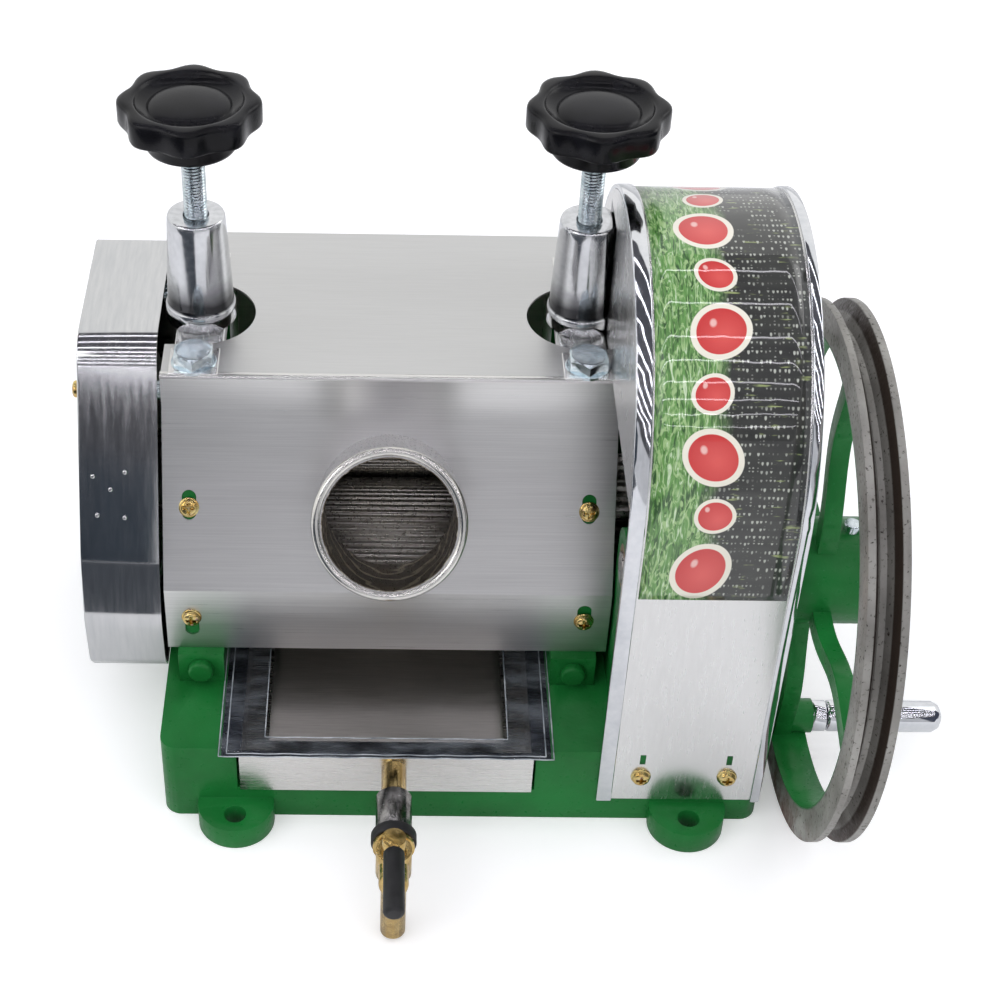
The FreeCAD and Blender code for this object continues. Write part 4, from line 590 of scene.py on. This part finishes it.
def left_cover():
    """Bent cover over the left-hand gears, with rounded folds and a flat end plate."""
    corners = [(106, 35), (106, 213), (11, 213), (-45, 114), (-55, 78), (-52, 46), (-43, 35), (100, 35),
               (106, 35)]
    radii = [4, 24, 46, 34, 10, 5, 0.01]
    outer = rounded_path(corners, radii)
    centre = Vector((30, 125))
    rows = []
    for x, inset in ((-159.5, 1.2), (-159.5, 0), (-199.4, 0), (-200.1, 0.3), (-200.4, 1.0),
                     (-200.4, 1.2)):
        row = []
        for y, z in outer:
            point = Vector((y, z))
            inward = (centre - point).normalized()
            point += inward * inset
            row.append((x * MM, point.x * MM, point.y * MM))
        rows.append(row)
    shape = Form()
    shape.grid(rows)
    inner = []
    for x, inset in ((-159.5, 1.2), (-199.2, 1.2)):
        inner.append([(x * MM, (Vector(p) + (centre - Vector(p)).normalized() * inset).x * MM,
                       (Vector(p) + (centre - Vector(p)).normalized() * inset).y * MM) for p in outer])
    shape.grid(inner)
    for x, ring in ((-200.4, rows[-1]), (-199.2, inner[-1])):
        count = len(ring)
        shape.add(ring + [(x * MM, centre.x * MM, centre.y * MM)],
                  [[step, (step + 1) % count, count] for step in range(count)])
    shape.make("bent_left_cover", "polished_sheet", "frame", ["left_gear_cover"], 25)


def label_strip():
    """Printed strip that follows the bent guard sheet, from behind its top to low on its front."""
    left, right, stand_off = 79.2, 150.4, 0.00025
    radius = GUARD_RADIUS + stand_off
    path = []
    for step in range(61):
        angle = math.radians(55 + (180 - 55) * step / 60)
        path.append((GUARD_Y + radius * math.cos(angle), GUARD_Z + radius * math.sin(angle)))
    for step in range(1, 8):
        path.append((path[60][0], GUARD_Z - 0.035 * step / 7))
    length = len(path) - 1
    rows = []
    flat = []
    for number, (y, z) in enumerate(path):
        rows.append([])
        for step in range(9):
            share = step / 8
            rows[-1].append(((left + (right - left) * share) * MM, y, z))
            flat.append((share, number / length))
    shape = Form()
    shape.grid(rows, wrap=False, flat=flat)
    piece = shape.make("picture_label", "picture_label", "frame")
    thick = piece.modifiers.new("thick", "SOLIDIFY")
    thick.thickness = 0.0002
    thick.offset = 1
    return piece


def hex_head(shape, place, flats, height, washer=0.0, dish=0.4):
    """Hexagon head with chamfered corners, over a washer."""
    base = 0.0
    if washer:
        shape.turn([(0, 0), (washer, 0), (washer, 1.2), (washer - 0.4, 1.6), (0, 1.6)], place, 48)
        base = 1.6
    half = flats / 2

    def hexagon(radius, angle, row):
        turn = (angle + math.pi / 6) % (math.pi / 3) - math.pi / 6
        corner = half / math.cos(turn)
        return corner if radius >= half else radius

    rows = []
    steps = 72
    for level in ("low", "side", "ring", "dish"):
        row = []
        for step in range(steps):
            angle = math.tau * step / steps
            wide = hexagon(half, angle, 0)
            if level == "low":
                radius, z = wide, base
            elif level == "side":
                radius, z = wide, base + height - 0.3 - max(0.0, wide - half) * 0.58
            elif level == "ring":
                radius, z = half * 0.93, base + height
            else:
                radius, z = half * 0.74, base + height - dish
            row.append((radius * MM * math.cos(angle), radius * MM * math.sin(angle), z * MM))
        rows.append(row)
    rows.append([(0, 0, (base + height - dish) * MM)] * steps)
    shape.grid(rows, place)


def cross_screw(shape, place, radius, height, washer=0.0):
    """Pan head with a cross recess, over a washer."""
    base = 0.0
    if washer:
        shape.turn([(0, 0), (washer, 0), (washer, 0.9), (washer - 0.3, 1.2), (0, 1.2)], place, 40)
        base = 1.2
    rings = [(1.0, 0.0), (1.0, 0.42), (0.95, 0.62), (0.86, 0.78), (0.74, 0.89), (0.6, 0.96), (0.5, 0.985),
             (0.42, 1.0), (0.34, 1.0), (0.26, 1.0), (0.18, 1.0), (0.1, 1.0), (0.0, 1.0)]
    steps = 64
    rows = []
    for share, level in rings:
        row = []
        for step in range(steps):
            angle = math.tau * step / steps
            x, y = share * math.cos(angle), share * math.sin(angle)
            z = height * level
            if share < 0.62 and min(abs(x), abs(y)) < 0.15:
                z -= height * 0.85 * min(1.0, (0.62 - share) / 0.12)
            row.append((radius * x * MM, radius * y * MM, (base + z) * MM))
        rows.append(row)
    shape.grid(rows, place)


def solids(name):
    """Points of each separate solid of a CAD node."""
    mesh = bmesh.new()
    mesh.from_mesh(nodes[name].data)
    bmesh.ops.remove_doubles(mesh, verts=mesh.verts, dist=1e-5)
    left = set(mesh.verts)
    found = []
    while left:
        reached = [left.pop()]
        for vert in reached:
            for edge in vert.link_edges:
                other = edge.other_vert(vert)
                if other in left:
                    left.remove(other)
                    reached.append(other)
        found.append([vert.co.copy() for vert in reached])
    mesh.free()
    return sorted(found, key=lambda points: (points[0].x, points[0].y))


def crown(points, axis):
    """Middle of the outermost face of a solid along an axis."""
    axis = Vector(axis)
    top = max(point.dot(axis) for point in points)
    edge = [point for point in points if point.dot(axis) > top - 0.0001]
    low = Vector(min(point[i] for point in edge) for i in range(3))
    high = Vector(max(point[i] for point in edge) for i in range(3))
    return (low + high) / 2


# Places of the bridge bolts, in mm
BRIDGE_BOLTS = ((-139, -7.5), (59, -7.5), (-139, 79.5), (59, 79.5))


def small_screws(name, piece_name, axis_of, finish):
    """Cross-recessed screws with washers, in place of the plain ones of a node."""
    shape = Form()
    for points in solids(name):
        axis = axis_of(points)
        top = crown(points, axis)
        place = stand(top - Vector(axis) * 0.0038, axis)
        cross_screw(shape, place, 4.5, 2.7, 5.2)
        shape.turn([(2.4, -8), (2.4, 0)], place, 24)
    shape.make(piece_name, finish, "frame", [name], 50)


def plate(shape, low, high, trim=0.4):
    """Flat plate between two corners, in mm, with its top edges broken."""
    x0, y0, z0 = low
    x1, y1, z1 = high

    def ring(inset, z):
        return [((x0 + inset) * MM, (y0 + inset) * MM, z * MM), ((x1 - inset) * MM, (y0 + inset) * MM, z * MM),
                ((x1 - inset) * MM, (y1 - inset) * MM, z * MM), ((x0 + inset) * MM, (y1 - inset) * MM, z * MM)]

    rows = [ring(0, z0), ring(0, z1 - trim), ring(trim, z1)]
    shape.grid(rows)
    shape.add(rows[0], [[3, 2, 1, 0]])
    shape.add(rows[-1], [[0, 1, 2, 3]])


def bridge_washers():
    """Square plates under the bridge bolts."""
    shape = Form()
    for x, y in BRIDGE_BOLTS:
        plate(shape, (x - 12.5, y - 10.9, 213.0), (x + 12.5, y + 11.6, 213.9))
    shape.make("bridge_washers", "bright_sheet", "frame", folds=28)


def tube_rim():
    """Rolled bright rim around the mouth of the feed tube."""
    shape = Form()
    profile = []
    for step in range(21):
        angle = math.radians(-100 + 310 * step / 20)
        profile.append((36.1 + 2.3 * math.cos(angle), 2.3 * math.sin(angle)))
    profile.append(profile[0])
    shape.turn(profile, stand(tube_mouth(), FACET), 96)
    shape.make("feed_tube_rim", "rolled_rim", "frame")


def tube_mouth():
    """Middle of the feed tube's open end, a little inside its edge."""
    axis = Vector(FACET).normalized()
    start = Vector((TUBE_X, *TUBE_AXIS))
    points = [vert.co for vert in nodes["feed_tube"].data.vertices]
    return start + axis * (max((point - start).dot(axis) for point in points) - 0.0012)


def panel_fold():
    """Rounded upper fold of the front panel, which catches the light; its steel is painted paler as a highlight.
    """
    shape = Form()
    rows = [[(x * MM, y * MM, z * MM) for x in (-155.4, -100, -40, 20, 75.4)]
            for y, z in ((-15.3, 213.02), (-15.6, 213.3), (-17.3, 213.15), (-18.5, 212.85), (-19.1, 212.2),
                         (-19.2, 211.2))]
    shape.grid(rows, wrap=False)
    shape.make("panel_fold", "fold_steel", "frame")


def cover_dimples():
    """Five small raised spots on the slope of the left cover."""
    top, foot = Vector((0.011, 0.213)), Vector((-0.045, 0.114))
    slope = (foot - top).normalized()
    outward = (0, slope.y, -slope.x)
    shape = Form()
    for x, share in ((-193, 0.62), (-176.4, 0.60), (-184, 0.68), (-191, 0.80), (-176.8, 0.81)):
        y, z = top.lerp(foot, share)
        shape.turn([(1.3, -0.05), (1.15, 0.12), (0.85, 0.3), (0.45, 0.42), (0, 0.46)],
                   stand((x * MM, y, z), outward), 20)
    shape.make("cover_dimples", "polished_sheet", "frame")


def hexagon_bolts(name, piece_name, flats, height, washer, shank, depth):
    """Chamfered hexagon heads over washers, in place of the plain ones of a node."""
    shape = Form()
    for points in solids(name):
        top = crown(points, (0, 0, 1))
        place = stand(top - Vector((0, 0, height + 1.6)) * MM)
        hex_head(shape, place, flats, height, washer)
        shape.turn([(shank, -depth), (shank, 0)], place, 24)
    shape.make(piece_name, "zinc_bolt", "frame", [name], 28)


def strainer_sheet():
    """Sheet in the tray in place of the finely pierced strainer, with a turned-down rim and a slight wave; it
    has no holes.
    """
    low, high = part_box("strainer_plate")
    across, along = 48, 64
    top = []
    for row in range(along + 1):
        top.append([])
        for step in range(across + 1):
            u, v = step / across, row / along
            x = low.x + (high.x - low.x) * u
            y = low.y + (high.y - low.y) * v
            edge = min(u * 122, (1 - u) * 122, v * 188, (1 - v) * 188)
            wave = 0.35 * math.sin(5.1 * u + 2) * math.sin(7.3 * v + 1)
            drop = 0.0 if edge > 3 else 0.9 * (1 - edge / 3) ** 2
            top[-1].append((x, y, high.z - (0.5 + wave * min(1, edge / 12) + drop) * MM))
    under = [[(x, y, z - 0.0008) for x, y, z in row] for row in top]
    shape = Form()
    shape.grid(top, wrap=False)
    shape.grid(under, wrap=False)
    for one, two in ((top[0], under[0]), (top[-1], under[-1])):
        shape.grid([one, two], wrap=False)
    for side in (0, -1):
        shape.grid([[row[side] for row in top], [row[side] for row in under]], wrap=False)
    shape.make("strainer_sheet", "strainer_steel", "strainer_plate", ["strainer_plate"], 40)


def lip_film():
    """Clear protective film that is still on the tray's lip, a little larger than it."""
    outer = (-126.2, -126.0, 46.2, 60.0)
    inner = (-103.0, -112.0, 23.0, 60.0)
    shape = Form()
    strips = [((outer[0], inner[0]), (outer[1], outer[3])), ((inner[2], outer[2]), (outer[1], outer[3])),
              ((inner[0], inner[2]), (outer[1], inner[1]))]
    for (x0, x1), (y0, y1) in strips:
        wide, long = (10, 60) if x1 - x0 < 40 else (60, 10)
        rows = []
        for row in range(long + 1):
            rows.append([])
            for step in range(wide + 1):
                x = x0 + (x1 - x0) * step / wide
                y = y0 + (y1 - y0) * row / long
                lift = 0.5 + 0.22 * math.sin(0.31 * x + 0.09 * y) * math.sin(0.17 * y + 1)
                rows[-1].append((x * MM, y * MM, (50.8 + lift) * MM))
        shape.grid(rows, wrap=False)
    piece = shape.make("lip_film", "clear_film", "juice_tray")
    thick = piece.modifiers.new("thick", "SOLIDIFY")
    thick.thickness = 0.0003
    thick.offset = 0
    # Pale lines along the film's cut edges: painted highlights
    edges = Form()
    for inset, drop in ((0.2, 0.1), (4.2, 0.35), (23.4, 0.2)):
        path = [(outer[0] + inset, outer[3]), (outer[0] + inset, outer[1] + inset * 0.6),
                (outer[2] - inset, outer[1] + inset * 0.6), (outer[2] - inset, outer[3])]
        for (x0, y0), (x1, y1) in zip(path, path[1:]):
            rows = []
            for step in range(41):
                x, y = x0 + (x1 - x0) * step / 40, y0 + (y1 - y0) * step / 40
                z = 51.5 - drop + 0.22 * math.sin(0.31 * x + 0.09 * y) * math.sin(0.17 * y + 1)
                rows.append([])
                for corner in range(6):
                    turn = math.tau * corner / 6
                    flat = 0.34 * math.cos(turn)
                    aside = (flat, 0) if x0 == x1 else (0, flat)
                    rows[-1].append(((x + aside[0]) * MM, (y + aside[1]) * MM,
                                     (z + 0.3 * math.sin(turn)) * MM))
            edges.grid(rows)
    edges.make("lip_film_edges", "film_edge", "juice_tray")


for screw_side in ("left", "right"):
    knob(screw_side)
    threaded_screw(screw_side)
spring_cones()
left_cover()
label_strip()
small_screws("panel_screws", "cross_screws_panel",
             lambda points: FACET if max(p.z for p in points) > 0.1 else (0, -1, 0), "gold_zinc")
small_screws("guard_screws", "cross_screws_guard", lambda points: (0, -1, 0), "gold_zinc")
small_screws("cover_screws", "cross_screws_cover", lambda points: (-1, 0, 0), "gold_zinc")
small_screws("rear_panel_screws", "cross_screws_rear", lambda points: (0, 1, 0), "gold_zinc")
hexagon_bolts("bridge_bolts", "hexagon_bolts_bridge", 19, 6.4, 11.5, 5.9, 38)
hexagon_bolts("bracket_bolts", "hexagon_bolts_bracket", 13, 3.7, 8.0, 4.0, 18)
bridge_washers()
tube_rim()
panel_fold()
cover_dimples()
strainer_sheet()
lip_film()


# Floor, lamps, sky and camera

def floor():
    """Pale floor, brighter to the camera so that it meets the white sky."""
    paint = Paint("floor", {"Roughness": 0.9})
    tone = paint.noise(6, 2)
    paint.link(paint.shade(tone, 0.3, 0.7, (0.90, 0.90, 0.90), (0.93, 0.93, 0.93)), "Base Color")
    seen = paint.add("LightPath").outputs["Is Camera Ray"]
    paint.surface.inputs["Emission Color"].default_value = (1, 1, 1, 1)
    paint.link(paint.maths("MULTIPLY", seen, 0.3), "Emission Strength")
    mesh = bpy.data.meshes.new("floor")
    reach = 14.0
    mesh.from_pydata([(-reach, -reach, 0), (reach, -reach, 0), (reach, reach, 0), (-reach, reach, 0)], [],
                     [(0, 1, 2, 3)])
    mesh.materials.append(paint.material)
    piece = bpy.data.objects.new("floor", mesh)
    bpy.context.collection.objects.link(piece)


def card(name, corners, grey):
    """Card beside the set that polished metal mirrors; the camera doesn't see it."""
    paint = Paint(name, {"Roughness": 0.9})
    tone = paint.noise(3, 2)
    low = tuple(0.8 * part for part in grey)
    paint.link(paint.shade(tone, 0.3, 0.7, low, grey), "Base Color")
    mesh = bpy.data.meshes.new(name)
    mesh.from_pydata(corners, [], [(0, 1, 2, 3)])
    mesh.materials.append(paint.material)
    piece = bpy.data.objects.new(name, mesh)
    bpy.context.collection.objects.link(piece)
    piece.visible_camera = False
    piece.visible_shadow = False
    piece.visible_diffuse = False


floor()
# What the polished sheets mirror: a dark room to the front left, a pale one to the right, and the ceiling
card("front_left_card", [(-2.6, -1.5, 0.02), (-0.34, -1.5, 0.02), (-0.34, -1.5, 0.72), (-2.6, -1.5, 0.72)],
     (0.045, 0.060, 0.080))
card("front_right_card", [(-0.34, -1.5, 0.02), (2.2, -1.5, 0.02), (2.2, -1.5, 0.72), (-0.34, -1.5, 0.72)],
     (0.74, 0.74, 0.75))
card("low_left_card", [(-1.5, -1.5, 0.004), (-0.19, -1.5, 0.004), (-0.19, -0.30, 0.004), (-1.5, -0.30, 0.004)],
     (0.045, 0.055, 0.070))
card("right_card", [(1.5, -1.5, 0.02), (1.5, 0.3, 0.02), (1.5, 0.3, 0.9), (1.5, -1.5, 0.9)],
     (0.06, 0.07, 0.10))
card("ceiling_card", [(-3.0, -5.0, 1.86), (3.0, -5.0, 1.86), (3.0, 0.9, 1.86), (-3.0, 0.9, 1.86)],
     (0.10, 0.10, 0.115))


def lamp(name, place, aim, width, length, power, colour=(1, 1, 1)):
    data = bpy.data.lights.new(name, "AREA")
    data.shape = "RECTANGLE"
    data.size = width
    data.size_y = length
    data.energy = power
    data.color = colour
    thing = bpy.data.objects.new(name, data)
    bpy.context.collection.objects.link(thing)
    thing.location = place
    thing.rotation_euler = (Vector(aim) - Vector(place)).to_track_quat("-Z", "Y").to_euler()
    thing.visible_camera = False


TARGET = (0, 0, 0.1)
for number, tube_y in enumerate((0.5, -0.05, -0.57, -1.0, -1.45, -1.95, -2.55, -3.3)):
    lamp(f"tube_{number}", (0, tube_y, 1.8), TARGET, 5.0, 0.026, 4.2, (0.96, 0.94, 1.0))
lamp("soft_left", (-1.6, -1.0, 1.5), TARGET, 1.0, 1.0, 4.5)
lamp("soft_right", (1.7, 0.6, 1.3), TARGET, 0.9, 0.9, 4.0)

world = bpy.data.worlds.new("sky")
bpy.context.scene.world = world
world.use_nodes = True
tree = world.node_tree
background = tree.nodes["Background"]
path = tree.nodes.new("ShaderNodeLightPath")
either = tree.nodes.new("ShaderNodeMath")
either.operation = "MAXIMUM"
tree.links.new(path.outputs["Is Camera Ray"], either.inputs[0])
tree.links.new(path.outputs["Is Transmission Ray"], either.inputs[1])
blend = tree.nodes.new("ShaderNodeMix")
blend.data_type = "RGBA"
blend.inputs[6].default_value = (0.62, 0.63, 0.65, 1)
blend.inputs[7].default_value = (1, 1, 1, 1)
shine = tree.nodes.new("ShaderNodeMath")
shine.operation = "MAXIMUM"
tree.links.new(either.outputs[0], shine.inputs[0])
tree.links.new(path.outputs["Is Glossy Ray"], shine.inputs[1])
tree.links.new(shine.outputs[0], blend.inputs[0])
tree.links.new(blend.outputs[2], background.inputs["Color"])

# Camera at the photograph's viewing angle
pitch, yaw, roll = math.radians(41.71), math.radians(1.03), math.radians(1.347)
forward = Vector((math.sin(yaw) * math.cos(pitch), math.cos(yaw) * math.cos(pitch), -math.sin(pitch)))
level = Vector((math.cos(yaw), -math.sin(yaw), 0))
upward = level.cross(forward)
right_axis = level * math.cos(roll) + upward * math.sin(roll)
up_axis = upward * math.cos(roll) - level * math.sin(roll)
lens = bpy.data.cameras.new("camera")
lens.lens = 72.72
lens.sensor_width = 36
lens.shift_x = 0.0943
lens.shift_y = 0.0570
lens.clip_start = 0.05
lens.clip_end = 50
camera = bpy.data.objects.new("camera", lens)
bpy.context.collection.objects.link(camera)
camera.matrix_world = Matrix.Translation((-0.0452, -0.8291, 0.8163)) @ Matrix(
    (right_axis, up_axis, -forward)).transposed().to_4x4()
bpy.context.scene.camera = camera
bpy.context.scene.view_settings.view_transform = "Standard"
